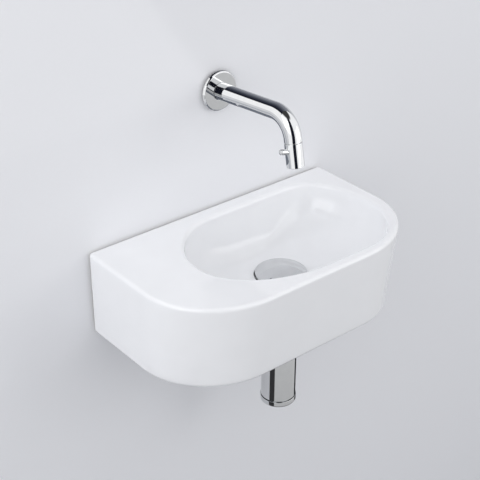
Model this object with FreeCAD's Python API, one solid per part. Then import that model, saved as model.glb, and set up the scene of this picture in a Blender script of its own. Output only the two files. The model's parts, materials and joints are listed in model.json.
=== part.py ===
import FreeCAD, Part
import math
import os

# Wall-hung hand basin with a wall spout, a push plug and a bottle trap.
# Millimetres, +Z up, the wall is the plane Y = 0 and the front faces -Y.
# The origin is on the wall, midway between the two wall studs.

# Basin body
basin_width = 364.0
basin_depth = 204.5
basin_height = 110.5
left_taper = 0.5
right_taper = 13.0
front_taper = 9.5
left_corner_width = 106.0
left_corner_depth = 93.5
right_corner_width = 108.0
right_corner_depth = 98.0
low_left_corner_width = 101.5
low_left_corner_depth = 97.0
low_right_corner_width = 87.0
low_right_corner_depth = 100.0
top_edge_round = 7.0
bottom_edge_round = 6.0
skirt_wall = 12.0
back_wall = 12.0
deck_wall = 14.0
pocket_corner = 18.0

# Bowl, which lies to the right of a flat deck
rim_left = 81.0
rim_right = 20.0
rim_back = 19.0
rim_front = 15.5
lip_round = 6.0
lip_roll_deg = 75.0
bowl_depth = 64.0
bowl_wall = 11.0
floor_wall = 16.0
floor_radius = 45.0
drain_offset = 32.0
drain_reach = 95.0
dish_drop = 5.5
rim_corner_shares = {
    "back_left": (0.33, 0.5),
    "back_right": (0.21, 0.47),
    "front_right": (0.29, 0.43),
    "front_left": (0.49, 0.5),
}
floor_corner_shares = {
    "back_left": (0.46, 0.5),
    "back_right": (0.46, 0.46),
    "front_right": (0.46, 0.46),
    "front_left": (0.46, 0.5),
}
lip_steps = 3
bowl_steps = 7
shell_steps = 5

# Wall fixing
stud_spacing = 200.0
stud_rise = 22.5
stud_radius = 5.0
stud_wall_length = 50.0
stud_tip = 5.0
stud_neck_radius = 4.45
stud_neck_back = 2.0
stud_fit = 0.05
sleeve_wall = 2.4
sleeve_fit = 0.4
sleeve_flange_radius = 11.5
sleeve_flange_thickness = 2.5
stud_washer_radius = 10.5
stud_washer_thickness = 2.0
stud_nut_flats = 17.0
stud_nut_thickness = 8.0

# Waste
waste_radius = 20.95
waste_bore = 17.0
waste_length = 50.0
waste_hole_fit = 2.0
waste_thread_fit = 0.05
flange_radius = 31.5
flange_thickness = 2.5
flange_mouth_drop = 2.0
flange_seat_fit = 1.0
top_seal_thickness = 1.5
top_seal_width = 6.5
bottom_seal_thickness = 4.0
bottom_seal_radius = 29.0
waste_washer_thickness = 2.0
waste_washer_radius = 30.0
backnut_thickness = 10.0
backnut_flats = 50.0
bridge_height = 8.0
bridge_drop = 18.0
bridge_wall = 2.0
bridge_arm_width = 3.0
bridge_arms = 3

# Push plug
plug_radius = 33.0
plug_edge = 1.6
plug_dome = 5.5
plug_lift = 6.0
plug_boss_radius = 7.5
plug_boss_length = 5.0
plug_seal_inner = 18.5
plug_seal_outer = 24.0
plug_seal_thickness = 2.0
stem_radius = 4.0
stem_collar_radius = 6.1
stem_collar_thickness = 2.0
stem_collar_gap = 0.3
guide_fit = 0.06
guide_length = 3.0
cartridge_radius = 8.2
cartridge_wall = 1.6
cartridge_length = 25.0
cartridge_rise = 8.0
cartridge_floor = 2.0
spring_wire_radius = 0.6
spring_turns = 5
spring_end_gap = 0.1
spring_side_gap = 0.35

# Trap
inlet_nut_radius = 26.5
inlet_nut_grip = 14.0
inlet_nut_shoulder = 3.0
inlet_seal_thickness = 3.0
dip_radius = 16.0
dip_wall = 1.5
dip_length = 98.0
dip_flange_inset = 0.6
dip_flange_thickness = 2.5
dip_fit = 0.3
neck_gap = 8.0
neck_nut_radius = 25.0
neck_nut_height = 16.0
neck_nut_shoulder = 3.0
neck_seal_height = 5.0
neck_radius = 20.0
neck_height = 12.0
trap_radius = 22.5
trap_wall = 1.8
trap_length = 89.5
trap_shoulder = 3.5
trap_cap_proud = 0.8
trap_cap_height = 8.0
trap_cap_floor = 2.0
trap_cap_round = 1.5
trap_thread_length = 5.0
trap_thread_wall = 2.0
trap_joint = 0.5
cap_seal_width = 2.4
grip_radius = 0.9
grip_count = 24

# Trap outlet
outlet_drop = 22.0
outlet_boss_radius = 20.0
outlet_boss_reach = 38.0
outlet_pipe_radius = 16.0
outlet_pipe_wall = 1.2
outlet_pipe_grip = 10.0
outlet_pipe_wall_length = 45.0
outlet_mark_place = 2.0
outlet_mark_width = 1.5
outlet_mark_depth = 0.3
outlet_fit = 0.3
outlet_seal_length = 4.0
outlet_nut_radius = 25.0
outlet_nut_grip = 10.0
outlet_nut_shoulder = 3.0
pipe_rosette_radius = 34.0
pipe_rosette_thickness = 9.0
pipe_rosette_edge = 2.0

# Tap spout
tap_offset = 11.0
tap_rise = 153.6
tube_radius = 10.4
tube_wall = 1.3
tube_rise_deg = 5.0
tube_run = 101.8
bend_radius = 29.5
bend_deg = 84.5
tube_tail = 5.0
rosette_radius = 24.5
rosette_thickness = 3.5
rosette_bevel = 1.2
rosette_fit = 0.3
rosette_seal_thickness = 0.8
rosette_seal_width = 5.0
nipple_radius = 10.48
nipple_bore = 6.5
nipple_wall_length = 28.0
spigot_length = 26.0
spigot_bore = 6.0
spigot_fit = 0.05
spigot_ring_place = 20.0
spigot_ring_radius = 0.8
grub_radius = 2.5
grub_place = 12.0
grub_sunk = 0.3
grub_bite = 1.0
grub_socket_radius = 1.3
grub_socket_depth = 1.2
grub_fit = 0.05

# Turning outlet at the end of the spout
sleeve_length = 27.5
sleeve_joint = 0.5
sleeve_bore = 8.05
sleeve_bore_depth = 5.0
disc_bore = 6.8
aerator_bore = 8.2
aerator_depth = 11.5
neck_core_radius = 7.2
neck_core_length = 4.4
core_bore = 4.2
core_spigot_length = 4.0
nose_radius = 5.6
core_ring_place = 1.8
core_ring_radius = 0.8
ring_running_fit = 0.06
retainer_place = 3.1
retainer_width = 0.9
retainer_depth = 0.9
retainer_reach = 8.7
retainer_slot = 3.0
retainer_clearance = 0.3
disc_place = 7.0
disc_thickness = 2.4
disc_gap = 0.05
disc_clearance = 0.4
disc_port_radius = 1.7
disc_port_place = 3.6
lever_place = 11.5
lever_radius = 3.3
lever_reach = 10.0
lever_depth = 2.4
lever_end_round = 1.2
lever_tilt_deg = 14.0
aerator_wall = 1.3
aerator_sunk = 0.8
aerator_lip = 1.6
screen_thickness = 1.6
screen_place = 4.0
screen_hole_radius = 0.55
screen_hole_rows = 3

# Shared by every cut that has to pass right through, and the size of no gap at all
overrun = 2.0
same_place = 0.001

# Directions
UP = FreeCAD.Vector(0, 0, 1)
DOWN = FreeCAD.Vector(0, 0, -1)
BACK = FreeCAD.Vector(0, 1, 0)
FRONT = FreeCAD.Vector(0, -1, 0)
LEFT = FreeCAD.Vector(-1, 0, 0)

# Levels and places that follow from the sizes above
bottom_z = -stud_rise
top_z = bottom_z + basin_height
left_x = -basin_width / 2
right_x = basin_width / 2
left_corner = (left_corner_width, left_corner_depth)
right_corner = (right_corner_width, right_corner_depth)
low_left_corner = (low_left_corner_width, low_left_corner_depth)
low_right_corner = (low_right_corner_width, low_right_corner_depth)
floor_z = top_z - bowl_depth
under_z = floor_z - floor_wall
flange_top_z = floor_z - dish_drop
seat_z = flange_top_z - flange_thickness - top_seal_thickness
tail_z = flange_top_z - waste_length
plug_z = flange_top_z + plug_lift + plug_seal_thickness
drain_axis = FreeCAD.Vector(drain_offset, -drain_reach, 0)
inlet_nut_z = tail_z - inlet_seal_thickness - dip_flange_thickness - inlet_nut_shoulder
neck_nut_z = inlet_nut_z - neck_gap
neck_z = neck_nut_z - neck_nut_shoulder - neck_seal_height
shoulder_z = neck_z - neck_height
joint_z = shoulder_z - trap_length
outlet_z = shoulder_z - outlet_drop
outlet_y = -drain_reach + outlet_boss_reach
tube_bore = tube_radius - tube_wall
tap_base = FreeCAD.Vector(tap_offset, 0, top_z + tap_rise)


def side_vector(angle_deg):
    """Direction in the spout's upright plane, turned down from straight forward."""
    angle = math.radians(angle_deg)
    return FreeCAD.Vector(0, -math.cos(angle), -math.sin(angle))


tube_way = side_vector(-tube_rise_deg)
outlet_way = side_vector(bend_deg - tube_rise_deg)
bend_start = tap_base + tube_way * tube_run
bend_centre = bend_start + side_vector(90 - tube_rise_deg) * bend_radius
bend_end = bend_centre - side_vector(90 + bend_deg - tube_rise_deg) * bend_radius
sleeve_base = bend_end + outlet_way * tube_tail


def place(shape, base, way):
    """Move a shape made about +Z so that its origin lies at base and its axis along way."""
    shape.Placement = FreeCAD.Placement(base, FreeCAD.Rotation(UP, way))
    return shape


def turned(points, base, way=UP):
    """Solid of revolution of a closed outline of (radius, height) points."""
    corners = [FreeCAD.Vector(radius, 0, height) for radius, height in points]
    face = Part.Face(Part.makePolygon(corners + corners[:1]))
    return place(face.revolve(FreeCAD.Vector(), UP, 360), base, way)


def rod(radius, low, high, base, way=UP):
    """Round bar between two heights along its axis."""
    return place(Part.makeCylinder(radius, high - low, FreeCAD.Vector(0, 0, low)), base, way)


def ring(inner, outer, low, high, base, way=UP):
    """Plain ring between two heights along its axis."""
    return turned([(inner, low), (outer, low), (outer, high), (inner, high)], base, way)


def round_ring(middle, section, height, base, way=UP):
    """Ring with a round section."""
    return place(Part.makeTorus(middle, section, FreeCAD.Vector(0, 0, height)), base, way)


def hexagon(flats, low, high, base, way=UP):
    """Six-sided bar given by the distance across its flats."""
    reach = flats / 2 / math.cos(math.radians(30))
    corners = []
    for side in range(7):
        angle = math.radians(60 * side)
        corners.append(FreeCAD.Vector(reach * math.cos(angle), reach * math.sin(angle), low))
    bar = Part.Face(Part.makePolygon(corners)).extrude(UP * (high - low))
    return place(bar, base, way)


def quarter_curve(start, corner, end):
    """Exact quarter of an ellipse that touches both legs of a corner."""
    curve = Part.BezierCurve()
    curve.setPoles([start, corner, end])
    curve.setWeight(2, math.sqrt(0.5))
    return curve.toShape()


def rounded_outline(box, corners, z):
    """Closed outline of a box whose corners are quarter ellipses, from the back left one round."""
    left, right, front, back = box
    inward = {
        "back_left": (1, -1),
        "back_right": (-1, -1),
        "front_right": (-1, 1),
        "front_left": (1, 1),
    }
    turns = []
    for name, (way_x, way_y) in inward.items():
        corner = FreeCAD.Vector(left if way_x > 0 else right, front if way_y > 0 else back, z)
        width, depth = corners.get(name, (0, 0))
        on_side = corner + FreeCAD.Vector(0, way_y * depth, 0)
        on_end = corner + FreeCAD.Vector(way_x * width, 0, 0)
        turns.append((on_side, corner, on_end) if way_x * way_y < 0 else (on_end, corner, on_side))
    edges = []
    for index, (start, corner, end) in enumerate(turns):
        if start.distanceToPoint(end) > same_place:
            edges.append(quarter_curve(start, corner, end))
        next_start = turns[(index + 1) % len(turns)][0]
        if end.distanceToPoint(next_start) > same_place:
            edges.append(Part.makeLine(end, next_start))
    return Part.Wire(edges)


def front_corners(left, right, inset):
    """Corner sizes of an outline of the basin, drawn in by an inset."""
    return {
        "front_right": (right[0] - inset, right[1] - inset),
        "front_left": (left[0] - inset, left[1] - inset),
    }


def front_edges(solid, level):
    """Edges that lie flat at a level, without the one along the wall."""
    found = []
    for edge in solid.Edges:
        box = edge.BoundBox
        flat = abs(box.ZMin - level) < same_place and abs(box.ZMax - level) < same_place
        if flat and box.YMin < -same_place:
            found.append(edge)
    return found


def basin_blank():
    """Outer body: flat back on the wall, D-shaped front, drawn in towards the bottom."""
    top_box = (left_x, right_x, -basin_depth, overrun)
    low_box = (left_x + left_taper, right_x - right_taper, -basin_depth + front_taper, overrun)
    top = rounded_outline(top_box, front_corners(left_corner, right_corner, 0), top_z)
    low = rounded_outline(low_box, front_corners(low_left_corner, low_right_corner, 0), bottom_z)
    blank = Part.makeLoft([low, top], True, True)
    for level, radius in ((top_z, top_edge_round), (bottom_z, bottom_edge_round)):
        blank = blank.makeFillet(radius, front_edges(blank, level))
    corner = FreeCAD.Vector(left_x - overrun, 0, bottom_z - overrun)
    behind = Part.makeBox(basin_width + 2 * overrun, 2 * overrun, basin_height + 2 * overrun, corner)
    return blank.cut(behind)


def rim_box():
    """Left, right, front and back of the bowl's mouth."""
    return left_x + rim_left, right_x - rim_right, -basin_depth + rim_front, -rim_back


def bowl_section(share, grow, z):
    """Outline of the bowl between its rim and its round floor, widened by grow."""
    floor = (drain_axis.x - floor_radius, drain_axis.x + floor_radius,
             drain_axis.y - floor_radius, drain_axis.y + floor_radius)
    left, right, front, back = [a + (b - a) * share for a, b in zip(rim_box(), floor)]
    box = (left - grow, right + grow, front - grow, back + grow)
    corners = {}
    for name, rim_shares in rim_corner_shares.items():
        floor_shares = floor_corner_shares[name]
        x_share, y_share = [a + (b - a) * share for a, b in zip(rim_shares, floor_shares)]
        corners[name] = (x_share * (box[1] - box[0]), y_share * (box[3] - box[2]))
    return rounded_outline(box, corners, z)


def bowl_wall_sections(top, depth, grow, steps):
    """Sections of a bowl whose wall is a quarter ellipse from the rim to the floor."""
    sections = []
    for step in range(steps + 1):
        angle = math.radians(90 * step / steps)
        sections.append(bowl_section(1 - math.cos(angle), grow, top - depth * math.sin(angle)))
    return sections


def bowl_hollow():
    """Space inside the bowl, whose rolled lip runs out above the deck."""
    end = math.radians(lip_roll_deg)
    rise = overrun + lip_round * (1 - math.sin(end))
    sections = [bowl_section(0, lip_round * (1 - math.cos(end)) + rise * math.tan(end), top_z + overrun)]
    for step in range(lip_steps, 0, -1):
        angle = end * step / lip_steps
        grow = lip_round * (1 - math.cos(angle))
        sections.append(bowl_section(0, grow, top_z - lip_round * (1 - math.sin(angle))))
    sections += bowl_wall_sections(top_z - lip_round, bowl_depth - lip_round, 0, bowl_steps)
    return Part.makeLoft(sections, True, False)


def underside_hollow():
    """Space under the deck, round the outside of the bowl and open below."""
    box = (left_x + left_taper + skirt_wall, right_x - right_taper - skirt_wall,
           -basin_depth + front_taper + skirt_wall, -back_wall)
    corners = front_corners(low_left_corner, low_right_corner, skirt_wall)
    corners["back_left"] = (pocket_corner, pocket_corner)
    corners["back_right"] = (pocket_corner, pocket_corner)
    outline = rounded_outline(box, corners, bottom_z - overrun)
    pocket = Part.Face(outline).extrude(UP * (basin_height - deck_wall + overrun))
    sections = bowl_wall_sections(top_z, bowl_depth + floor_wall, bowl_wall, shell_steps)
    return pocket.cut(Part.makeLoft(sections, True, True))


def drain_cut():
    """Dished seat for the waste flange and the hole below it."""
    seat = flange_radius + flange_seat_fit
    dish = floor_radius - flange_seat_fit
    hole = waste_radius + waste_hole_fit
    above = floor_z + overrun
    below = under_z - overrun
    return turned([(0, above), (dish, above), (dish, floor_z), (seat, flange_top_z), (seat, seat_z),
                   (hole, seat_z), (hole, below), (0, below)], drain_axis)


def stud_axes():
    """Foot points of the two wall studs."""
    return [FreeCAD.Vector(side * stud_spacing / 2, 0, 0) for side in (-1, 1)]


def basin():
    """Glazed body whose bowl has a rolled rim, with holes for the waste and the wall studs."""
    stud_hole = stud_radius + stud_fit + sleeve_wall + sleeve_fit
    cuts = [bowl_hollow(), underside_hollow(), drain_cut()]
    for axis in stud_axes():
        cuts.append(rod(stud_hole, -overrun, back_wall + overrun, axis, FRONT))
    return basin_blank().cut(cuts)


def wall_studs():
    """Hanger bolts: a thread into the wall, a plain neck in the sleeve and a thread for the nut."""
    reach = back_wall + sleeve_flange_thickness + stud_washer_thickness + stud_nut_thickness + stud_tip
    outline = [(0, -stud_wall_length), (stud_radius, -stud_wall_length), (stud_radius, -stud_neck_back),
               (stud_neck_radius, -stud_neck_back), (stud_neck_radius, back_wall), (stud_radius, back_wall),
               (stud_radius, reach), (0, reach)]
    return Part.makeCompound([turned(outline, axis, FRONT) for axis in stud_axes()])


def stud_sleeves():
    inner = stud_radius + stud_fit
    outer = inner + sleeve_wall
    seat = back_wall
    rim = back_wall + sleeve_flange_thickness
    outline = [(inner, 0), (outer, 0), (outer, seat), (sleeve_flange_radius, seat),
               (sleeve_flange_radius, rim), (inner, rim)]
    return Part.makeCompound([turned(outline, axis, FRONT) for axis in stud_axes()])


def stud_washers():
    seat = back_wall + sleeve_flange_thickness
    top = seat + stud_washer_thickness
    inner = stud_radius + stud_fit
    outer = stud_washer_radius
    return Part.makeCompound([ring(inner, outer, seat, top, axis, FRONT) for axis in stud_axes()])


def stud_nuts():
    seat = back_wall + sleeve_flange_thickness + stud_washer_thickness
    top = seat + stud_nut_thickness
    pieces = []
    for axis in stud_axes():
        hole = rod(stud_radius + stud_fit, seat - overrun, top + overrun, axis, FRONT)
        pieces.append(hexagon(stud_nut_flats, seat, top, axis, FRONT).cut(hole))
    return Part.makeCompound(pieces)


def waste_body():
    """Flanged tube with a three-armed bridge that holds the push cartridge."""
    low = flange_top_z - flange_thickness
    mouth = flange_top_z - flange_mouth_drop
    tube = turned([(waste_bore, tail_z), (waste_radius, tail_z), (waste_radius, low), (flange_radius, low),
                   (flange_radius, flange_top_z), (plug_seal_inner, flange_top_z), (waste_bore, mouth)],
                  drain_axis)
    bridge_top = flange_top_z - bridge_drop
    bridge_low = bridge_top - bridge_height
    hub = rod(cartridge_radius + bridge_wall, bridge_low, bridge_top, drain_axis)
    pieces = [hub]
    middle = (waste_bore + waste_radius) / 2
    for arm in range(bridge_arms):
        corner = FreeCAD.Vector(0, -bridge_arm_width / 2, bridge_low)
        bar = Part.makeBox(middle, bridge_arm_width, bridge_height, corner)
        bar.rotate(FreeCAD.Vector(), UP, 360 * arm / bridge_arms)
        bar.translate(drain_axis)
        pieces.append(bar)
    hole = rod(cartridge_radius, bridge_low - overrun, bridge_top + overrun, drain_axis)
    return tube.fuse(pieces).cut(hole).removeSplitter()


def waste_top_seal():
    inner = flange_radius - top_seal_width
    return ring(inner, flange_radius, seat_z, seat_z + top_seal_thickness, drain_axis)


def waste_bottom_seal():
    inner = waste_radius + waste_thread_fit
    return ring(inner, bottom_seal_radius, under_z - bottom_seal_thickness, under_z, drain_axis)


def waste_washer():
    top = under_z - bottom_seal_thickness
    inner = waste_radius + waste_thread_fit
    return ring(inner, waste_washer_radius, top - waste_washer_thickness, top, drain_axis)


def waste_backnut():
    top = under_z - bottom_seal_thickness - waste_washer_thickness
    low = top - backnut_thickness
    hole = rod(waste_radius + waste_thread_fit, low - overrun, top + overrun, drain_axis)
    return hexagon(backnut_flats, low, top, drain_axis).cut(hole)


def plug_cap():
    """Domed cap with a boss on its flat underside."""
    edge_z = plug_z + plug_edge
    crown = FreeCAD.Vector(0, 0, edge_z + plug_dome)
    dome_radius = (plug_radius ** 2 + plug_dome ** 2) / (2 * plug_dome)
    half = math.asin(plug_radius / dome_radius) / 2
    waist = FreeCAD.Vector(dome_radius * math.sin(half), 0, crown.z - dome_radius * (1 - math.cos(half)))
    rim = FreeCAD.Vector(plug_radius, 0, edge_z)
    arc = Part.Arc(crown, waist, rim).toShape()
    boss_z = plug_z - plug_boss_length
    outline = [(plug_radius, edge_z), (plug_radius, plug_z), (plug_boss_radius, plug_z),
               (plug_boss_radius, boss_z), (stem_radius, boss_z), (stem_radius, plug_z), (0, plug_z),
               (0, crown.z)]
    corners = [FreeCAD.Vector(radius, 0, z) for radius, z in outline]
    wire = Part.Wire([arc] + Part.makePolygon(corners).Edges)
    return place(Part.Face(wire).revolve(FreeCAD.Vector(), UP, 360), drain_axis, UP)


def plug_seal():
    return ring(plug_seal_inner, plug_seal_outer, plug_z - plug_seal_thickness, plug_z, drain_axis)


def cartridge_top():
    """Height of the push cartridge's top."""
    return flange_top_z - bridge_drop + cartridge_rise


def plug_stem():
    """Push rod, screwed into the cap, with the collar that the spring lifts."""
    collar_top = cartridge_top() - guide_length - stem_collar_gap
    collar_low = collar_top - stem_collar_thickness
    return turned([(0, collar_low), (stem_collar_radius, collar_low), (stem_collar_radius, collar_top),
                   (stem_radius, collar_top), (stem_radius, plug_z), (0, plug_z)], drain_axis)


def plug_cartridge():
    """Closed cylinder in the bridge, with a guide for the push rod at its top."""
    top = cartridge_top()
    low = top - cartridge_length
    chamber = cartridge_radius - cartridge_wall
    guide = stem_radius + guide_fit
    guide_low = top - guide_length
    floor = low + cartridge_floor
    return turned([(0, low), (cartridge_radius, low), (cartridge_radius, top), (guide, top), (guide, guide_low),
                   (chamber, guide_low), (chamber, floor), (0, floor)], drain_axis)


def helix_point(radius, pitch, low, angle):
    """Point of a rising helix and the direction in which it runs there."""
    climb = pitch / (2 * math.pi)
    point = FreeCAD.Vector(radius * math.cos(angle), radius * math.sin(angle), low + climb * angle)
    way = FreeCAD.Vector(-radius * math.sin(angle), radius * math.cos(angle), climb)
    return point, way.normalize()


def joining_arcs(start, start_way, end, end_way):
    """Two arcs that leave one point and reach another in given directions and touch midway."""
    chord = end - start
    ways = start_way + end_way
    square = 2 * (1 - start_way.dot(end_way))
    along = chord.dot(ways)
    reach = (math.sqrt(along ** 2 + square * chord.dot(chord)) - along) / square
    first = start + start_way * reach
    second = end - end_way * reach
    middle = (first + second) / 2
    arcs = []
    for point, control, far in ((start, first, middle), (middle, second, end)):
        half = (control - point).getAngle(far - control) / 2
        centre_way = ((point + far) / 2 - control).normalize()
        legs = control.distanceToPoint(point)
        radius = legs / math.tan(half)
        apex = control + centre_way * (radius / math.cos(half) - radius)
        arcs.append(Part.Arc(point, apex, far).toShape())
    return arcs


def plug_spring():
    """Coil between the cartridge's floor and the collar of the push rod, one unbroken wire."""
    low = cartridge_top() - cartridge_length + cartridge_floor + spring_wire_radius + spring_end_gap
    collar_low = cartridge_top() - guide_length - stem_collar_gap - stem_collar_thickness
    high = collar_low - spring_wire_radius - spring_end_gap
    radius = cartridge_radius - cartridge_wall - spring_side_gap - spring_wire_radius
    pitch = (high - low) / spring_turns
    arcs = []
    for quarter in range(4 * spring_turns):
        start = helix_point(radius, pitch, low, math.pi / 2 * quarter)
        end = helix_point(radius, pitch, low, math.pi / 2 * (quarter + 1))
        arcs += joining_arcs(*start, *end)
    print("spring: gap between turns", round(pitch - 2 * spring_wire_radius, 2))
    point, way = helix_point(radius, pitch, low, 0)
    section = Part.Wire(Part.makeCircle(spring_wire_radius, point, way))
    return place(Part.Wire(arcs).makePipeShell([section], True), drain_axis, UP)


def trap_inlet_seal():
    outer = waste_radius - dip_flange_inset
    return ring(dip_radius - dip_wall, outer, tail_z - inlet_seal_thickness, tail_z, drain_axis)


def dip_tube():
    """Tube that carries the water down into the trap, hung by its flange."""
    top = tail_z - inlet_seal_thickness
    low = top - dip_length
    rim = top - dip_flange_thickness
    outer = waste_radius - dip_flange_inset
    bore = dip_radius - dip_wall
    outline = [(bore, low), (dip_radius, low), (dip_radius, rim), (outer, rim), (outer, top), (bore, top)]
    return turned(outline, drain_axis)


def gland_nut(outer, thread, hole, low, shoulder, height, base, way):
    """Round nut with a closed end that presses a seal; its open end is up."""
    inside = low + shoulder
    top = low + height
    outline = [(hole, low), (outer, low), (outer, top), (thread, top), (thread, inside), (hole, inside)]
    return turned(outline, base, way)


def gripped(nut, outer, low, high, base, way):
    """Flutes round a nut for the hand."""
    flutes = []
    for index in range(grip_count):
        angle = 2 * math.pi * index / grip_count
        foot = FreeCAD.Vector(outer * math.cos(angle), outer * math.sin(angle), low)
        flutes.append(place(Part.makeCylinder(grip_radius, high - low, foot), base, way))
    return nut.cut(flutes)


def trap_inlet_nut():
    height = tail_z - inlet_nut_z + inlet_nut_grip
    nut = gland_nut(inlet_nut_radius, waste_radius + waste_thread_fit, dip_radius + dip_fit,
                    inlet_nut_z, inlet_nut_shoulder, height, drain_axis, UP)
    top = inlet_nut_z + height
    return gripped(nut, inlet_nut_radius, inlet_nut_z - overrun, top + overrun, drain_axis, UP)


def trap_neck_nut():
    base = drain_axis + UP * neck_nut_z
    nut = gland_nut(neck_nut_radius, neck_radius + waste_thread_fit, dip_radius + dip_fit,
                    0, neck_nut_shoulder, neck_nut_height, base, DOWN)
    return gripped(nut, neck_nut_radius, -overrun, neck_nut_height + overrun, base, DOWN)


def trap_neck_seal():
    return ring(dip_radius, neck_radius - dip_fit, neck_z, neck_z + neck_seal_height, drain_axis)


def trap_body():
    """Upright bottle with a threaded neck, a side boss and an open threaded foot."""
    bore = trap_radius - trap_wall
    neck_bore = dip_radius + dip_fit
    foot_z = joint_z - trap_thread_length
    foot = bore - trap_joint
    foot_bore = foot - trap_thread_wall
    cone_z = shoulder_z - trap_shoulder
    roof_z = cone_z - trap_wall
    bottle = [(neck_bore, neck_z), (neck_radius, neck_z), (neck_radius, shoulder_z), (trap_radius, cone_z),
              (trap_radius, joint_z), (foot, joint_z), (foot, foot_z), (foot_bore, foot_z),
              (foot_bore, joint_z + trap_wall), (bore, joint_z + trap_wall), (bore, roof_z),
              (neck_bore, roof_z)]
    axis = FreeCAD.Vector(drain_axis.x, drain_axis.y, outlet_z)
    boss = rod(outlet_boss_radius, 0, outlet_boss_reach, axis, BACK)
    core = turned([(0, neck_z + overrun), (neck_bore, neck_z + overrun), (neck_bore, roof_z), (bore, roof_z),
                   (bore, foot_z), (0, foot_z)], drain_axis)
    seat = outlet_boss_reach - outlet_pipe_grip
    socket = rod(outlet_pipe_radius + outlet_fit, seat, outlet_boss_reach + overrun, axis, BACK)
    passage = rod(outlet_pipe_radius - outlet_pipe_wall, 0, outlet_boss_reach, axis, BACK)
    body = turned(bottle, drain_axis).fuse(boss.cut(core))
    return body.cut([socket, passage]).removeSplitter()


def trap_cap():
    """Screw-off cup that closes the foot of the trap."""
    outer = trap_radius + trap_cap_proud
    thread = trap_radius - trap_wall - trap_joint + waste_thread_fit
    low = joint_z - trap_joint - trap_cap_height
    top = joint_z - trap_joint
    inside = low + trap_cap_floor
    return turned([(0, low), (outer - trap_cap_round, low), (outer, low + trap_cap_round), (outer, top),
                   (thread, top), (thread, inside), (0, inside)], drain_axis)


def trap_cap_seal():
    inside = joint_z - trap_joint - trap_cap_height + trap_cap_floor
    outer = trap_radius - trap_wall - trap_joint
    return ring(outer - cap_seal_width, outer, inside, joint_z - trap_thread_length, drain_axis)


def outlet_base():
    """Point on the outlet's axis at the mouth of the trap's side boss."""
    return FreeCAD.Vector(drain_axis.x, outlet_y, outlet_z)


def outlet_nut():
    height = outlet_nut_grip + outlet_seal_length + outlet_nut_shoulder
    base = outlet_base() + BACK * (outlet_seal_length + outlet_nut_shoulder)
    nut = gland_nut(outlet_nut_radius, outlet_boss_radius + waste_thread_fit, outlet_pipe_radius + outlet_fit,
                    0, outlet_nut_shoulder, height, base, FRONT)
    return gripped(nut, outlet_nut_radius, -overrun, height + overrun, base, FRONT)


def outlet_seal():
    outer = outlet_boss_radius - outlet_fit
    return ring(outlet_pipe_radius, outer, 0, outlet_seal_length, outlet_base(), BACK)


def outlet_pipe():
    """Tube into the wall, with a shallow groove that marks how deep it goes in."""
    inner = outlet_pipe_radius - outlet_pipe_wall
    groove = outlet_pipe_radius - outlet_mark_depth
    start = -outlet_pipe_grip
    mark = outlet_mark_place - outlet_y
    mark_end = mark + outlet_mark_width
    end = outlet_pipe_wall_length - outlet_y
    outline = [(inner, start), (outlet_pipe_radius, start), (outlet_pipe_radius, mark), (groove, mark),
               (groove, mark_end), (outlet_pipe_radius, mark_end), (outlet_pipe_radius, end), (inner, end)]
    return turned(outline, outlet_base(), BACK)


def pipe_rosette():
    """Shallow cone that covers the pipe's hole in the wall."""
    hole = outlet_pipe_radius + outlet_fit
    neck = hole + pipe_rosette_edge
    base = FreeCAD.Vector(drain_axis.x, 0, outlet_z)
    return turned([(hole, 0), (pipe_rosette_radius, 0), (pipe_rosette_radius, pipe_rosette_edge),
                   (neck, pipe_rosette_thickness), (hole, pipe_rosette_thickness)], base, FRONT)


def tap_rosette():
    """Bevelled plate against the wall, drilled along the spout's rise."""
    low = rosette_seal_thickness
    top = low + rosette_thickness
    plate = turned([(0, low), (rosette_radius, low), (rosette_radius, top - rosette_bevel),
                    (rosette_radius - rosette_bevel, top), (0, top)], tap_base, FRONT)
    return plate.cut(rod(tube_radius + rosette_fit, -overrun, top + overrun, tap_base, tube_way))


def rosette_seal():
    outer = rosette_radius - rosette_bevel
    return ring(outer - rosette_seal_width, outer, 0, rosette_seal_thickness, tap_base, FRONT)


def grub_hole():
    """Radial hole under the spout for the screw that holds it on its spigot."""
    base = tap_base + tube_way * grub_place
    way = side_vector(90 - tube_rise_deg)
    return rod(grub_radius + grub_fit, tube_bore - grub_bite, tube_radius + overrun, base, way)


def tap_nipple():
    """Threaded wall piece whose spigot carries the spout."""
    spigot = tube_bore - spigot_fit
    groove = tube_bore - 2 * spigot_ring_radius
    low = spigot_ring_place - 2 * spigot_ring_radius
    high = spigot_ring_place + 2 * spigot_ring_radius
    body = rod(nipple_radius, -nipple_wall_length, 0, tap_base, FRONT)
    body = body.fuse(rod(spigot, -overrun, spigot_length, tap_base, tube_way))
    bores = [rod(nipple_bore, -nipple_wall_length - overrun, 0, tap_base, FRONT),
             rod(spigot_bore, -overrun, spigot_length + overrun, tap_base, tube_way)]
    return body.cut(bores + [ring(groove, tube_radius, low, high, tap_base, tube_way), grub_hole()])


def nipple_ring():
    middle = tube_bore - spigot_ring_radius
    return round_ring(middle, spigot_ring_radius, spigot_ring_place, tap_base, tube_way)


def swept_spout(radius):
    """Solid bar of the spout's centre line: a straight run, one bend and a short tail."""
    start = tap_base - tube_way * overrun
    middle = bend_centre - side_vector(90 + bend_deg / 2 - tube_rise_deg) * bend_radius
    path = Part.Wire([Part.makeLine(start, bend_start), Part.Arc(bend_start, middle, bend_end).toShape(),
                      Part.makeLine(bend_end, sleeve_base)])
    return path.makePipeShell([Part.Wire(Part.makeCircle(radius, start, tube_way))], True)


def spout_tube():
    """Bent tube that ends flat on the wall piece."""
    wall = rod(2 * tube_radius, -overrun * 2, 0, tap_base, FRONT)
    return swept_spout(tube_radius).cut([swept_spout(tube_bore), wall, grub_hole()])


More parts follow.
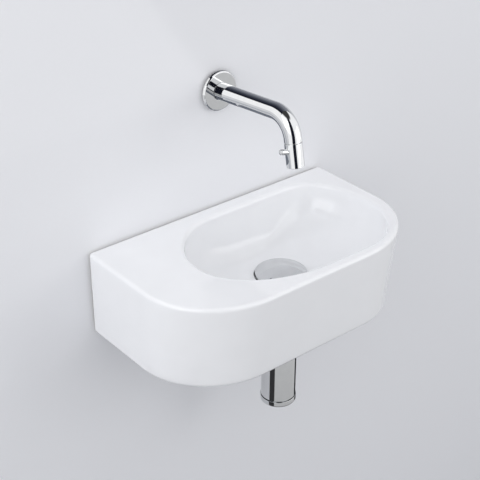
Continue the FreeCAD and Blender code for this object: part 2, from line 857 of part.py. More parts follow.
def grub_screw():
    base = tap_base + tube_way * grub_place
    way = side_vector(90 - tube_rise_deg)
    top = tube_radius - grub_sunk
    floor = top - grub_socket_depth
    return turned([(0, tube_bore - grub_bite), (grub_radius, tube_bore - grub_bite), (grub_radius, top),
                   (grub_socket_radius, top), (grub_socket_radius, floor), (0, floor)], base, way)


def valve_core():
    """Brass core in the end of the spout, on whose neck the sleeve turns."""
    groove = sleeve_bore - ring_running_fit - 2 * core_ring_radius
    low = core_ring_place - core_ring_radius
    high = core_ring_place + core_ring_radius
    keeper = neck_core_radius - retainer_depth
    keeper_end = retainer_place + retainer_width
    outline = [(core_bore, -core_spigot_length), (tube_bore, -core_spigot_length), (tube_bore, 0),
               (neck_core_radius, 0), (neck_core_radius, low), (groove, low), (groove, high),
               (neck_core_radius, high), (neck_core_radius, retainer_place), (keeper, retainer_place),
               (keeper, keeper_end), (neck_core_radius, keeper_end), (neck_core_radius, neck_core_length),
               (nose_radius, neck_core_length), (nose_radius, disc_place), (core_bore, disc_place)]
    return turned(outline, sleeve_base, outlet_way)


def sleeve_ring():
    middle = sleeve_bore - ring_running_fit - core_ring_radius
    return round_ring(middle, core_ring_radius, core_ring_place, sleeve_base, outlet_way)


def retainer():
    """Split ring on the core's neck that keeps the sleeve from dropping off."""
    inner = neck_core_radius - retainer_depth
    end = retainer_place + retainer_width
    split = Part.makeBox(retainer_reach, retainer_slot, retainer_width + overrun * 2,
                         FreeCAD.Vector(0, -retainer_slot / 2, retainer_place - overrun))
    whole = ring(inner, retainer_reach, retainer_place, end, sleeve_base, outlet_way)
    return whole.cut(place(split, sleeve_base, outlet_way))


def ported_disc(radius, low, angle_deg):
    """Ceramic disc with two ports on one diameter."""
    disc = rod(radius, low, low + disc_thickness, sleeve_base, outlet_way)
    ports = []
    for side in (0, 180):
        angle = math.radians(angle_deg + side)
        foot = disc_port_place * FreeCAD.Vector(math.cos(angle), math.sin(angle), 0) + UP * (low - overrun)
        port = Part.makeCylinder(disc_port_radius, disc_thickness + overrun * 2, foot)
        ports.append(place(port, sleeve_base, outlet_way))
    return disc.cut(ports)


def fixed_disc():
    return ported_disc(disc_bore - disc_clearance, disc_place, 0)


def moving_disc():
    return ported_disc(disc_bore, disc_place + disc_thickness + disc_gap, 90)


def lever_way():
    """Direction of the lever pin: to the left and tilted up along the sleeve."""
    tilt = math.radians(lever_tilt_deg)
    return LEFT * math.cos(tilt) - outlet_way * math.sin(tilt)


def lever_skin():
    """Distance along the lever pin from the sleeve's axis to its outside."""
    return tube_radius / math.cos(math.radians(lever_tilt_deg))


def lever_base():
    """Point on the sleeve's axis that the lever pin points away from."""
    return sleeve_base + outlet_way * lever_place


def turning_sleeve():
    """End of the spout, bored in steps for the neck, the discs and the aerator."""
    keeper = retainer_reach + retainer_clearance
    keeper_low = retainer_place - retainer_clearance
    keeper_high = retainer_place + retainer_width + retainer_clearance
    step = sleeve_length - aerator_depth
    outline = [(sleeve_bore, sleeve_joint), (tube_radius, sleeve_joint), (tube_radius, sleeve_length),
               (aerator_bore, sleeve_length), (aerator_bore, step), (disc_bore, step),
               (disc_bore, sleeve_bore_depth), (sleeve_bore, sleeve_bore_depth), (sleeve_bore, keeper_high),
               (keeper, keeper_high), (keeper, keeper_low), (sleeve_bore, keeper_low)]
    hole = rod(lever_radius, lever_skin() - lever_depth, lever_skin() + overrun, lever_base(), lever_way())
    return turned(outline, sleeve_base, outlet_way).cut(hole)


def lever_pin():
    foot = lever_skin() - lever_depth
    tip = lever_skin() + lever_reach
    return turned([(0, foot), (lever_radius, foot), (lever_radius, tip - lever_end_round),
                   (lever_radius - lever_end_round, tip), (0, tip)], lever_base(), lever_way())


def aerator_shell():
    low = sleeve_length - aerator_depth
    tip = sleeve_length - aerator_sunk
    inner = aerator_bore - aerator_wall
    seat = tip - screen_place + screen_thickness
    mouth = inner - aerator_lip
    outline = [(inner, low), (aerator_bore, low), (aerator_bore, tip),
               (mouth, tip), (mouth, seat), (inner, seat)]
    return turned(outline, sleeve_base, outlet_way)


def aerator_screen():
    """Perforated disc that rests on the shell's lip."""
    radius = aerator_bore - aerator_wall
    low = sleeve_length - aerator_sunk - screen_place
    disc = rod(radius, low, low + screen_thickness, sleeve_base, outlet_way)
    step = (radius - aerator_lip) / (screen_hole_rows + screen_hole_radius / radius)
    holes = []
    for row in range(screen_hole_rows):
        count = max(1, 6 * row)
        for index in range(count):
            angle = 2 * math.pi * index / count
            foot = step * row * FreeCAD.Vector(math.cos(angle), math.sin(angle), 0) + UP * (low - overrun)
            hole = Part.makeCylinder(screen_hole_radius, screen_thickness + overrun * 2, foot)
            holes.append(place(hole, sleeve_base, outlet_way))
    return disc.cut(holes)


PIECES = [
    basin, wall_studs, stud_sleeves, stud_washers, stud_nuts,
    waste_body, waste_top_seal, waste_bottom_seal, waste_washer, waste_backnut,
    plug_cap, plug_seal, plug_stem, plug_cartridge, plug_spring,
    trap_inlet_nut, trap_inlet_seal, dip_tube, trap_neck_nut, trap_neck_seal,
    trap_body, trap_cap, trap_cap_seal,
    outlet_nut, outlet_seal, outlet_pipe, pipe_rosette,
    tap_rosette, rosette_seal, tap_nipple, nipple_ring, spout_tube, grub_screw,
    valve_core, sleeve_ring, retainer, fixed_disc, moving_disc,
    turning_sleeve, lever_pin, aerator_shell, aerator_screen,
]


def main():
    os.makedirs("parts", exist_ok=True)
    for piece in PIECES:
        shape = piece()
        print(piece.__name__, len(shape.Solids), round(shape.Volume, 1), shape.isValid())
        shape.exportStep("parts/" + piece.__name__ + ".step")


main()
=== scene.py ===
import json
import math

import bmesh
import bpy
from bpy.props import FloatProperty, FloatVectorProperty, IntProperty, PointerProperty
from mathutils import Matrix, Vector


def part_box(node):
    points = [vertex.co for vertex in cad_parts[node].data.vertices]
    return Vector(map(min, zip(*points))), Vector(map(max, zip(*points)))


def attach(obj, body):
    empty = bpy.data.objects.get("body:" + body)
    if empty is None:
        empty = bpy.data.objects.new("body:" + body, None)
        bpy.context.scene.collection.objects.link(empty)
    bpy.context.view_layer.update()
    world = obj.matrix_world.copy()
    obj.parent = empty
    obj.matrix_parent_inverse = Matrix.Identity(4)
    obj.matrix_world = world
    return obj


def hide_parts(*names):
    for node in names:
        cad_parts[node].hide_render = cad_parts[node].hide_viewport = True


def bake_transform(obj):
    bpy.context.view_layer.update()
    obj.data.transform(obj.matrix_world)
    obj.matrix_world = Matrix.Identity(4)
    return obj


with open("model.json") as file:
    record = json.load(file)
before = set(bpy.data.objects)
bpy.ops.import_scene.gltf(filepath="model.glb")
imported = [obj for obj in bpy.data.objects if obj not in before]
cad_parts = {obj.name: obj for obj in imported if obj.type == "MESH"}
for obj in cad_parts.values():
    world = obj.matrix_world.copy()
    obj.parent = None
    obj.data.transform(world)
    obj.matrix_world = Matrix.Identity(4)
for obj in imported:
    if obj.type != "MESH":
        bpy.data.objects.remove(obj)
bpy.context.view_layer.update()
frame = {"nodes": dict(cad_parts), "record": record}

bl_info = {
    "name": "Wall-hung hand basin",
    "version": (1, 0, 0),
    "blender": (4, 5, 0),
    "location": "View3D > Sidebar > Hand Basin",
    "description": "Dresses a hand basin with a wall spout, a push plug and a bottle trap",
    "category": "Add Mesh",
}

MM = 0.001
UP = Vector((0, 0, 1))
BACK = Vector((0, 1, 0))
FRONT = Vector((0, -1, 0))
ACROSS = Vector((1, 0, 0))
# Points closer than this are one point.
TOUCHING = 1e-7
STUD_SPACING = 200 * MM
THREAD_RIDGE = 0.66 * MM

# Radii and a depth that several outlines share, in millimetres like every outline.
STUD_BORE = 5.05
PIPE_BORE = 16.3
MOUTH_RADIUS = 8.2
MOUTH_DEPTH = 11.5


def linear(code):
    """Linear red, green and blue of an sRGB hex colour."""
    parts = [int(code[start:start + 2], 16) / 255 for start in (1, 3, 5)]
    return [part / 12.92 if part <= 0.04045 else ((part + 0.055) / 1.055) ** 2.4 for part in parts]


def size(name, description, millimetres):
    """Length that the panel shows and a user may change."""
    return FloatProperty(name=name, description=description, default=millimetres * MM, unit="LENGTH")


def pair(name, description, width, depth):
    """Width and depth that the panel shows and a user may change."""
    return FloatVectorProperty(name=name, description=description, default=(width * MM, depth * MM), size=2,
                               unit="LENGTH")


def slope(name, description, degrees):
    """Angle that the panel shows and a user may change."""
    return FloatProperty(name=name, description=description, default=math.radians(degrees), subtype="ANGLE")


def tint(name, description, code):
    """Colour that the panel shows and a user may change."""
    return FloatVectorProperty(name=name, description=description, default=linear(code), size=3,
                               min=0.0, max=1.0, subtype="COLOR")


class HANDBASIN_PG_basin(bpy.types.PropertyGroup):
    """Sizes of the glazed basin."""
    width: size("Width", "Width of the basin along the wall", 364)
    depth: size("Depth", "Depth of the basin from the wall", 204.5)
    left_taper: size("Left taper", "How far the left side draws in towards the bottom", 0.5)
    right_taper: size("Right taper", "How far the right side draws in towards the bottom", 13)
    front_taper: size("Front taper", "How far the front draws in towards the bottom", 9.5)
    left_corner: pair("Left corner", "Width and depth of the front left corner at the top", 106, 93.5)
    right_corner: pair("Right corner", "Width and depth of the front right corner at the top", 108, 98)
    low_left_corner: pair("Low left corner", "Width and depth of the low front left corner", 101.5, 97)
    low_right_corner: pair("Low right corner", "Width and depth of the low front right corner", 87, 100)
    back_corner: size("Back corner", "Round of the upright edges at the wall", 2.5)
    top_round: size("Top edge round", "Round of the outer edge of the deck", 4.5)
    bottom_round: size("Bottom edge round", "Round of the lower outer edge", 6)
    skirt_wall: size("Skirt wall", "Thickness of the skirt below the deck", 12)
    deck_wall: size("Deck wall", "Thickness of the deck beside the bowl", 14)
    rim_left: size("Deck width", "Width of the flat deck left of the bowl", 81)
    rim_right: size("Right rim", "Width of the rim right of the bowl", 20)
    rim_back: size("Back rim", "Width of the rim behind the bowl", 19)
    rim_front: size("Front rim", "Width of the rim in front of the bowl", 15.5)
    lip_round: size("Lip round", "Round of the edge between deck and bowl", 5.2)
    bowl_depth: size("Bowl depth", "Depth of the bowl below the deck", 64)
    bowl_wall: size("Bowl wall", "Thickness of the bowl's side", 11)
    floor_wall: size("Floor wall", "Thickness of the bowl's floor", 16)
    floor_radius: size("Floor radius", "Radius of the flat ring round the drain", 45)
    dish_drop: size("Dish drop", "Fall from the bowl's floor to the waste", 5.5)
    seat_radius: size("Seat radius", "Radius of the recess that holds the waste flange", 32.5)
    seat_drop: size("Seat depth", "Depth of the recess that holds the waste flange", 4)
    hole_radius: size("Drain hole", "Radius of the hole for the waste", 22.95)
    stud_hole: size("Stud hole", "Radius of the two holes for the wall fixing", 7.85)


class HANDBASIN_PG_fittings(bpy.types.PropertyGroup):
    """Sizes of the spout, the waste and the trap."""
    tube_radius: size("Tube radius", "Outer radius of the spout", 10.4)
    tube_wall: size("Tube wall", "Thickness of the spout's wall", 1.3)
    tube_run: size("Tube run", "Length of the spout from the wall to its bend", 101.8)
    tube_rise: slope("Tube rise", "Angle at which the spout leaves the wall", 5)
    bend_radius: size("Bend radius", "Radius of the spout's bend at its middle line", 29.5)
    bend: slope("Bend", "Angle through which the spout is bent", 84.5)
    tube_tail: size("Tube tail", "Straight length below the bend", 5)
    sleeve_length: size("Sleeve length", "Length of the turning end of the spout", 27.5)
    sleeve_joint: size("Sleeve joint", "Gap between the spout and its turning end", 0.5)
    sleeve_rise: size("Sleeve rise", "Height of the thin skirt at the top of the turning end", 1.8)
    lever_place: size("Lever place", "Distance of the lever pin down the turning end", 10)
    lever_radius: size("Lever radius", "Radius of the lever pin", 3.3)
    lever_reach: size("Lever reach", "Length of the lever pin outside the turning end", 10)
    lever_tilt: slope("Lever tilt", "Angle by which the lever pin points up", 14)
    rosette_radius: size("Rosette radius", "Radius of the plate behind the spout", 24.5)
    thread_pitch: size("Thread pitch", "Rise of the wall studs' thread per turn", 1.5)
    grip_count: IntProperty(name="Grip flutes", description="Flutes round each hand nut", default=24, min=3)
    grip_radius: size("Flute radius", "Radius of the flutes round each hand nut", 0.9)


class HANDBASIN_PG_finishes(bpy.types.PropertyGroup):
    """Colours of the finishes."""
    glaze: tint("Glaze", "White glaze of the basin", "#F7F8FA")
    biscuit: tint("Biscuit", "Bare fired clay on the ground back face", "#D9D3C6")
    chrome: tint("Chrome", "Polished chrome plate", "#D9DADB")
    brass: tint("Brass", "Turned brass of the hidden fittings", "#C6A15C")
    zinc: tint("Zinc plate", "Zinc-plated steel of the wall fixing", "#B4B8BC")
    stainless: tint("Stainless steel", "Drawn stainless steel of spring and stem", "#BDBEC0")
    rubber: tint("Rubber", "Black rubber of the seals", "#1B1B1C")
    plastic: tint("Plastic", "White moulded plastic", "#E4E4DF")
    alumina: tint("Alumina", "Lapped ceramic of the valve discs", "#E8E4D8")
    wall: tint("Wall", "Painted wall behind the basin", "#F1F2F5")
    floor: tint("Floor", "Painted floor below the basin", "#A2A4A8")


def add(tree, kind, inputs=(), **settings):
    """Add one node, choose its options and fill or link its inputs; a node stands for its first output."""
    made = tree.nodes.new(kind)
    for name, value in settings.items():
        setattr(made, name, value)
    for key, value in dict(inputs).items():
        if isinstance(value, bpy.types.Node):
            value = value.outputs[0]
        if isinstance(value, bpy.types.NodeSocket):
            tree.links.new(value, made.inputs[key])
        else:
            made.inputs[key].default_value = value
    return made


def colour(value, shift=1.0):
    """Four-part colour, brightened or darkened by a factor."""
    return [min(1.0, part * shift) for part in value] + [1.0]


def blank(name):
    """New material with an empty node tree."""
    material = bpy.data.materials.new(name)
    material.use_nodes = True
    material.node_tree.nodes.clear()
    return material, material.node_tree


def finish(name, values):
    """New material with its output and a principled shader."""
    material, tree = blank(name)
    shader = add(tree, "ShaderNodeBsdfPrincipled", values)
    add(tree, "ShaderNodeOutputMaterial", {"Surface": shader})
    place = add(tree, "ShaderNodeTexCoord").outputs["Object"]
    return material, tree, shader, place


def mottle(tree, shader, place, tone, grain, shades, rough, bump):
    """Colour, gloss and relief that vary with a grain; grain and bump are real sizes in millimetres."""
    low, high = 0.3, 0.7
    noise = add(tree, "ShaderNodeTexNoise", {"Vector": place, "Scale": 1 / (grain * MM), "Detail": 3.0,
                                             "Roughness": 0.55}).outputs["Fac"]
    ramp = add(tree, "ShaderNodeValToRGB", {"Fac": noise})
    for stop, position, shade in zip(ramp.color_ramp.elements, (low, high), shades):
        stop.position = position
        stop.color = colour(tone, shade)
    gloss = add(tree, "ShaderNodeMapRange", {"Value": noise, "From Min": low, "From Max": high,
                                             "To Min": rough[0], "To Max": rough[1]})
    relief = add(tree, "ShaderNodeBump", {"Height": noise, "Distance": bump * MM, "Strength": 1.0})
    tree.links.new(ramp.outputs["Color"], shader.inputs["Base Color"])
    tree.links.new(gloss.outputs["Result"], shader.inputs["Roughness"])
    tree.links.new(relief.outputs["Normal"], shader.inputs["Normal"])
    return ramp.outputs["Color"], gloss.outputs["Result"]


def grained(name, values, tone, grain, shades, rough, bump):
    """Material of one of the panel's colours with a grain."""
    material, tree, shader, place = finish(name, values)
    mottle(tree, shader, place, getattr(bpy.context.scene.basin_finishes, tone), grain, shades, rough, bump)
    return material


def glazed_china():
    """Vitreous china, dipped in white glaze and fired."""
    # A glossy, slightly wavy skin with pooled and thinner places; the ground back face shows bare matt clay.
    tones = bpy.context.scene.basin_finishes
    material, tree, shader, place = finish("Vitreous china, white glaze", {"IOR": 1.52})
    white, gloss = mottle(tree, shader, place, tones.glaze, 30, (0.985, 1.0), (0.02, 0.045), 0.1)
    depth = add(tree, "ShaderNodeSeparateXYZ", {"Vector": place}).outputs["Y"]
    bare = add(tree, "ShaderNodeMath", {0: depth, 1: -0.02 * MM}, operation="GREATER_THAN")
    grit = add(tree, "ShaderNodeTexNoise", {"Vector": place, "Scale": 1 / (1.5 * MM), "Detail": 2.0})
    clay = add(tree, "ShaderNodeValToRGB", {"Fac": grit.outputs["Fac"]})
    for stop, shade in zip(clay.color_ramp.elements, (0.9, 1.05)):
        stop.color = colour(tones.biscuit, shade)
    tinted = add(tree, "ShaderNodeMix", {"Factor": bare, 6: white, 7: clay}, data_type="RGBA")
    dull = add(tree, "ShaderNodeMix", {"Factor": bare, 2: gloss, 3: 0.75}, data_type="FLOAT")
    tree.links.new(tinted.outputs[2], shader.inputs["Base Color"])
    tree.links.new(dull.outputs[0], shader.inputs["Roughness"])
    return material


METAL = {"Metallic": 1.0}


def chrome_plate():
    """Brass, polished and plated with bright chrome."""
    # A cool mirror; its gloss varies a little where it was buffed.
    return grained("Chrome plate, polished", METAL, "chrome", 9, (0.96, 1.0), (0.035, 0.06), 0.002)


def turned_brass():
    """Brass bar, turned on a lathe."""
    # Warm yellow with fine tool marks and duller stains.
    return grained("Brass, turned", METAL, "brass", 4, (0.8, 1.0), (0.22, 0.38), 0.02)


def zinc_plate():
    """Steel, rolled and zinc plated."""
    # Grey with a cloudy, half-dull sheen.
    return grained("Steel, zinc plated", METAL, "zinc", 3, (0.78, 1.0), (0.28, 0.46), 0.02)


def stainless_wire():
    """Stainless steel, drawn."""
    # Brighter grey with a fine grain left by the die.
    return grained("Stainless steel, drawn", METAL, "stainless", 1.2, (0.85, 1.0), (0.16, 0.28), 0.005)


def seal_rubber():
    """EPDM rubber, moulded."""
    # Black and dull, with a fine bloom that greys it in patches.
    return grained("EPDM rubber, moulded", {"IOR": 1.5}, "rubber", 2.5, (0.8, 1.5), (0.5, 0.72), 0.03)


def moulded_plastic():
    """Polypropylene, injection moulded."""
    # Milky white with a satin skin.
    return grained("Polypropylene, moulded", {"IOR": 1.49}, "plastic", 2, (0.95, 1.0), (0.32, 0.46), 0.01)


def lapped_alumina():
    """Alumina ceramic, lapped flat."""
    # Ivory, with the even half-gloss of a lapped face.
    return grained("Alumina ceramic, lapped", {"IOR": 1.77}, "alumina", 0.8, (0.95, 1.0), (0.2, 0.3), 0.004)


FINISHES = {
    "glaze": glazed_china,
    "chrome": chrome_plate,
    "brass": turned_brass,
    "steel": zinc_plate,
    "stem_metal": stainless_wire,
    "rubber": seal_rubber,
    "white_plastic": moulded_plastic,
    "disc_ceramic": lapped_alumina,
}
MATERIALS = {}


def material_for(slot):
    """Material of a slot of the record, made when it is first asked for."""
    if slot not in MATERIALS:
        MATERIALS[slot] = FINISHES[slot]()
    return MATERIALS[slot]


def raw(name, points, faces):
    """Closed mesh object at the origin whose faces point outwards."""
    mesh = bpy.data.meshes.new(name)
    mesh.from_pydata([tuple(point) for point in points], [], faces)
    work = bmesh.new()
    work.from_mesh(mesh)
    bmesh.ops.remove_doubles(work, verts=work.verts, dist=TOUCHING)
    rims = [edge for edge in work.edges if edge.is_boundary]
    if rims:
        bmesh.ops.triangle_fill(work, edges=rims, use_beauty=True)
    bmesh.ops.recalc_face_normals(work, faces=work.faces)
    work.to_mesh(mesh)
    work.free()
    made = bpy.data.objects.new(name, mesh)
    bpy.context.scene.collection.objects.link(made)
    return made


def settle(made):
    """Turn a piece and its modifiers into one plain mesh."""
    bpy.context.view_layer.update()
    mesh = bpy.data.meshes.new_from_object(made.evaluated_get(bpy.context.evaluated_depsgraph_get()))
    if not mesh.polygons:
        raise RuntimeError("nothing is left of " + made.name)
    made.modifiers.clear()
    old = made.data
    made.data = mesh
    bpy.data.meshes.remove(old)
    mesh.name = made.name
    return made


def combined(made, tool, operation="DIFFERENCE"):
    """Cut, keep or add what a second closed mesh takes up, and remove that mesh."""
    modifier = made.modifiers.new("combine", "BOOLEAN")
    modifier.object = tool
    modifier.operation = operation
    modifier.solver = "EXACT"
    settle(made)
    bpy.data.objects.remove(tool)
    return made


def shaded(made, slot, crease):
    """Give a piece its finish, with sharp edges where it turns by more than the crease angle."""
    made.data.validate()
    made.data.shade_smooth()
    made.data.set_sharp_from_angle(angle=math.radians(crease))
    made.data.materials.clear()
    made.data.materials.append(material_for(slot))


def dressed(made, slot, body, *nodes, crease=32):
    """Shade a piece and tie it to the frame."""
    shaded(made, slot, crease)
    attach(made, body)
    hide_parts(*nodes)
    return made


def skin(rings, loop=True):
    """Faces between neighbouring rings of point numbers."""
    faces = []
    for low, high in zip(rings, rings[1:] + rings[:1] if loop else rings[1:]):
        for place in range(len(low)):
            after = (place + 1) % len(low)
            corners = list(dict.fromkeys([low[place], low[after], high[after], high[place]]))
            if len(corners) > 2:
                faces.append(corners)
    return faces


def stack(name, loops, loop=True, caps=True):
    """Mesh through loops of as many points each; an open stack is closed by flat caps or by one flat ring."""
    points = [point for ring in loops for point in ring]
    count = len(loops[0])
    rings = [list(range(first, first + count)) for first in range(0, len(points), count)]
    faces = skin(rings, loop)
    if caps and not loop:
        faces += [rings[0], rings[-1]]
    return raw(name, points, faces)


def quarter(steps):
    """Even angles from zero to a right angle."""
    return [math.radians(90 * step / steps) for step in range(steps + 1)]


def hoop(centre, side, other, radius, count):
    """Points evenly round a circle."""
    turns = [2 * math.pi * place / count for place in range(count)]
    return [centre + (side * math.cos(turn) + other * math.sin(turn)) * radius for turn in turns]


def rounded(outline):
    """Points of a closed outline of (radius, height, round) corners, with close points beside each round."""
    straight, hold, facet = 0.01, 0.3, math.radians(15)
    corners = [Vector(corner[:2]) for corner in outline]
    points = []
    for index, here in enumerate(corners):
        bend = outline[index][2]
        into = here - corners[index - 1]
        out = corners[(index + 1) % len(corners)] - here
        turn = into.angle(out)
        if bend == 0 or turn < straight:
            points.append(here)
            continue
        lead, leave = into.normalized(), out.normalized()
        reach = bend * math.tan(turn / 2)
        centre = here + (leave - lead).normalized() * bend / math.cos(turn / 2)
        way = math.copysign(1, lead.x * leave.y - lead.y * leave.x)
        points.append(here - lead * (reach + min(bend, into.length - reach) * hold))
        steps = max(3, math.ceil(turn / facet))
        spoke = here - lead * reach - centre
        for step in range(steps + 1):
            points.append(centre + Matrix.Rotation(way * turn * step / steps, 2) @ spoke)
        points.append(here + leave * (reach + min(bend, out.length - reach) * hold))
    return [point * MM for point in points]


def ring(bore, rim, low, high, inside, outside):
    """Outline of a flat ring, with the rounds of its inner and outer edges."""
    return [(bore, low, inside), (rim, low, outside), (rim, high, outside), (bore, high, inside)]


def bar(radius, low, high, bevel=0):
    """Outline of a plain round bar."""
    return [(0, low, 0), (radius, low, bevel), (radius, high, bevel), (0, high, 0)]


def turned(name, outline, base, way=UP, sides=96):
    """Piece turned on a lathe about an axis through base; outline in millimetres."""
    side = ACROSS if abs(way.x) < 0.9 else BACK
    side = (side - way * side.dot(way)).normalized()
    other = way.cross(side)
    points, rings = [], []
    for radius, height in rounded(outline):
        first = len(points)
        centre = base + way * height
        if radius < TOUCHING:
            points.append(centre)
            rings.append([first] * sides)
        else:
            points += hoop(centre, side, other, radius, sides)
            rings.append(list(range(first, first + sides)))
    return raw(name, points, skin(rings))


def new_tree(name, **sizes):
    """Geometry node tree with a mesh in, a mesh out, a material and named sizes."""
    made = bpy.data.node_groups.new(name, "GeometryNodeTree")
    made.interface.new_socket("Mesh", in_out="INPUT", socket_type="NodeSocketGeometry")
    for label, kind in sizes.items():
        made.interface.new_socket(label, in_out="INPUT", socket_type="NodeSocket" + kind)
    made.interface.new_socket("Material", in_out="INPUT", socket_type="NodeSocketMaterial")
    made.interface.new_socket("Mesh", in_out="OUTPUT", socket_type="NodeSocketGeometry")
    return made, add(made, "NodeGroupInput").outputs


def placed(made, sizes, geometry):
    """Bring what stands on +Z to the piece's own foot and axis."""
    return add(made, "GeometryNodeTransform", {"Geometry": geometry, "Translation": sizes["Foot"],
                                               "Rotation": sizes["Turn"]})


def end_tree(made, sizes, geometry):
    """Close a tree: whole mesh, one material."""
    real = add(made, "GeometryNodeRealizeInstances", {"Geometry": geometry})
    coated = add(made, "GeometryNodeSetMaterial", {"Geometry": real, "Material": sizes["Material"]})
    add(made, "NodeGroupOutput", {0: coated})
    return made


def drilled(made, sizes, points, drill):
    """Close a tree that cuts a round bar out of its mesh at every point."""
    drills = add(made, "GeometryNodeInstanceOnPoints", {"Points": points, "Instance": drill})
    real = add(made, "GeometryNodeRealizeInstances", {"Geometry": drills})
    cut = add(made, "GeometryNodeMeshBoolean", {"Mesh 1": sizes["Mesh"], "Mesh 2": placed(made, sizes, real)},
              operation="DIFFERENCE")
    return end_tree(made, sizes, cut)


def flute_tree():
    """Flutes cut round a nut by a circle of round bars."""
    made, sizes = new_tree("Grip flutes", Count="Int", Radius="Float", Flute="Float", Length="Float",
                           Foot="Vector", Turn="Vector")
    circle = add(made, "GeometryNodeMeshCircle", {"Vertices": sizes["Count"], "Radius": sizes["Radius"]})
    drill = add(made, "GeometryNodeMeshCylinder", {"Vertices": 16, "Radius": sizes["Flute"],
                                                   "Depth": sizes["Length"]})
    return drilled(made, sizes, circle, drill)


def sieve_tree():
    """Rings of holes through a plate."""
    made, sizes = new_tree("Sieve holes", Step="Float", Hole="Float", Depth="Float",
                           Foot="Vector", Turn="Vector")
    spots = add(made, "GeometryNodeJoinGeometry", {0: add(made, "GeometryNodePoints", {"Count": 1})})
    for row in (1, 2, 3):
        reach = add(made, "ShaderNodeMath", {0: sizes["Step"], 1: float(row)}, operation="MULTIPLY")
        circle = add(made, "GeometryNodeMeshCircle", {"Vertices": 6 * row, "Radius": reach})
        holes = add(made, "GeometryNodeMeshToPoints", {"Mesh": circle})
        made.links.new(holes.outputs[0], spots.inputs[0])
    drill = add(made, "GeometryNodeMeshCylinder", {"Vertices": 12, "Radius": sizes["Hole"],
                                                   "Depth": sizes["Depth"]})
    return drilled(made, sizes, spots, drill)


def thread_tree():
    """Ridge that winds round a bar."""
    made, sizes = new_tree("Screw thread", Radius="Float", Turns="Float", Length="Float", Ridge="Float",
                           Foot="Vector", Turn="Vector")
    coil = add(made, "GeometryNodeCurveSpiral", {"Resolution": 40, "Rotations": sizes["Turns"],
                                                 "Start Radius": sizes["Radius"],
                                                 "End Radius": sizes["Radius"], "Height": sizes["Length"]})
    upright = add(made, "GeometryNodeSetCurveNormal", {"Curve": coil}, mode="Z_UP")
    section = add(made, "GeometryNodeCurvePrimitiveCircle", {"Resolution": 4, "Radius": sizes["Ridge"]})
    ridge = add(made, "GeometryNodeCurveToMesh", {"Curve": upright, "Profile Curve": section,
                                                  "Fill Caps": True})
    both = add(made, "GeometryNodeJoinGeometry", {0: sizes["Mesh"]})
    made.links.new(placed(made, sizes, ridge).outputs[0], both.inputs[0])
    return end_tree(made, sizes, both)


def pair_tree():
    """Two of one piece, side by side."""
    made, sizes = new_tree("Pair", Spacing="Vector", Count="Int")
    one = add(made, "GeometryNodeGeometryToInstance", {0: sizes["Mesh"]})
    row = add(made, "GeometryNodeMeshLine", {"Count": sizes["Count"], "Offset": sizes["Spacing"]})
    both = add(made, "GeometryNodeInstanceOnPoints", {"Points": row, "Instance": one})
    return end_tree(made, sizes, both)


TREES = {}


def worked(made, tree, slot, **values):
    """Run a node tree on a piece and keep its result as a plain mesh."""
    if tree not in TREES:
        TREES[tree] = tree()
    modifier = made.modifiers.new(tree.__name__, "NODES")
    modifier.node_group = TREES[tree]
    values["material"] = material_for(slot)
    for item in TREES[tree].interface.items_tree:
        if item.in_out == "INPUT" and item.name.lower() in values:
            modifier[item.identifier] = values[item.name.lower()]
    return settle(made)


def turn_to(way):
    """Euler turn that takes +Z to a direction."""
    return tuple(UP.rotation_difference(way).to_euler())


def hex_nut(name, flats, outline, base, way):
    """Six-sided nut: a hexagon bar kept inside a turned outline with bevelled ends."""
    reach = flats * MM / 2 / math.cos(math.radians(30))
    heights = [corner[1] * MM for corner in outline]
    turn = UP.rotation_difference(way)
    turns = [math.radians(60 * side) for side in range(6)]
    loops = []
    for height in (min(heights) - MM, max(heights) + MM):
        corners = [Vector((reach * math.cos(angle), reach * math.sin(angle), height)) for angle in turns]
        loops.append([base + turn @ corner for corner in corners])
    return combined(turned(name, outline, base, way), stack("hexagon", loops, loop=False), "INTERSECT")


def hand_nut(name, node, closed, mouth, thread, outer, base, way):
    """Round nut with flutes for the hand, threaded from its mouth and closed round a pipe."""
    fittings = bpy.context.scene.basin_fittings
    shelf = closed + math.copysign(3, mouth - closed)
    outline = [(PIPE_BORE, closed, 0.3), (outer, closed, 1.2), (outer, mouth, 1.2),
               (thread, mouth, 0.4), (thread, shelf, 0), (PIPE_BORE, shelf, 0)]
    nut = turned(name, outline, base, way, 144)
    low, high = sorted((closed, mouth))
    past = 4
    worked(nut, flute_tree, "chrome", count=fittings.grip_count, radius=outer * MM,
           flute=fittings.grip_radius, length=(high - low + past) * MM,
           foot=tuple(base + way * (low + high) / 2 * MM), turn=turn_to(way))
    return dressed(nut, "chrome", "fixed", node, crease=28)


def paired(made, slot, node, crease=32):
    """Dress a piece that stands at both wall studs."""
    worked(made, pair_tree, slot, spacing=(STUD_SPACING, 0, 0), count=2)
    return dressed(made, slot, "fixed", node, crease=crease)


def middle(node):
    """Middle of a node's box."""
    low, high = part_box(node)
    return Vector([(a + b) / 2 for a, b in zip(low, high)])


def span(node, axis=2):
    """Both ends of a node along an axis, in millimetres."""
    low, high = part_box(node)
    return low[axis] / MM, high[axis] / MM


def from_wall(node):
    """Back and front of a node as distances in front of the wall, in millimetres."""
    front, back = span(node, 1)
    return -back, -front


def drain_axis():
    """Foot of the upright axis that the waste and the trap share."""
    centre = middle("waste_backnut")
    return Vector((centre.x, centre.y, 0))


def side_way(angle):
    """Direction in the spout's upright plane, turned down from straight forward."""
    return Vector((0, -math.cos(angle), -math.sin(angle)))


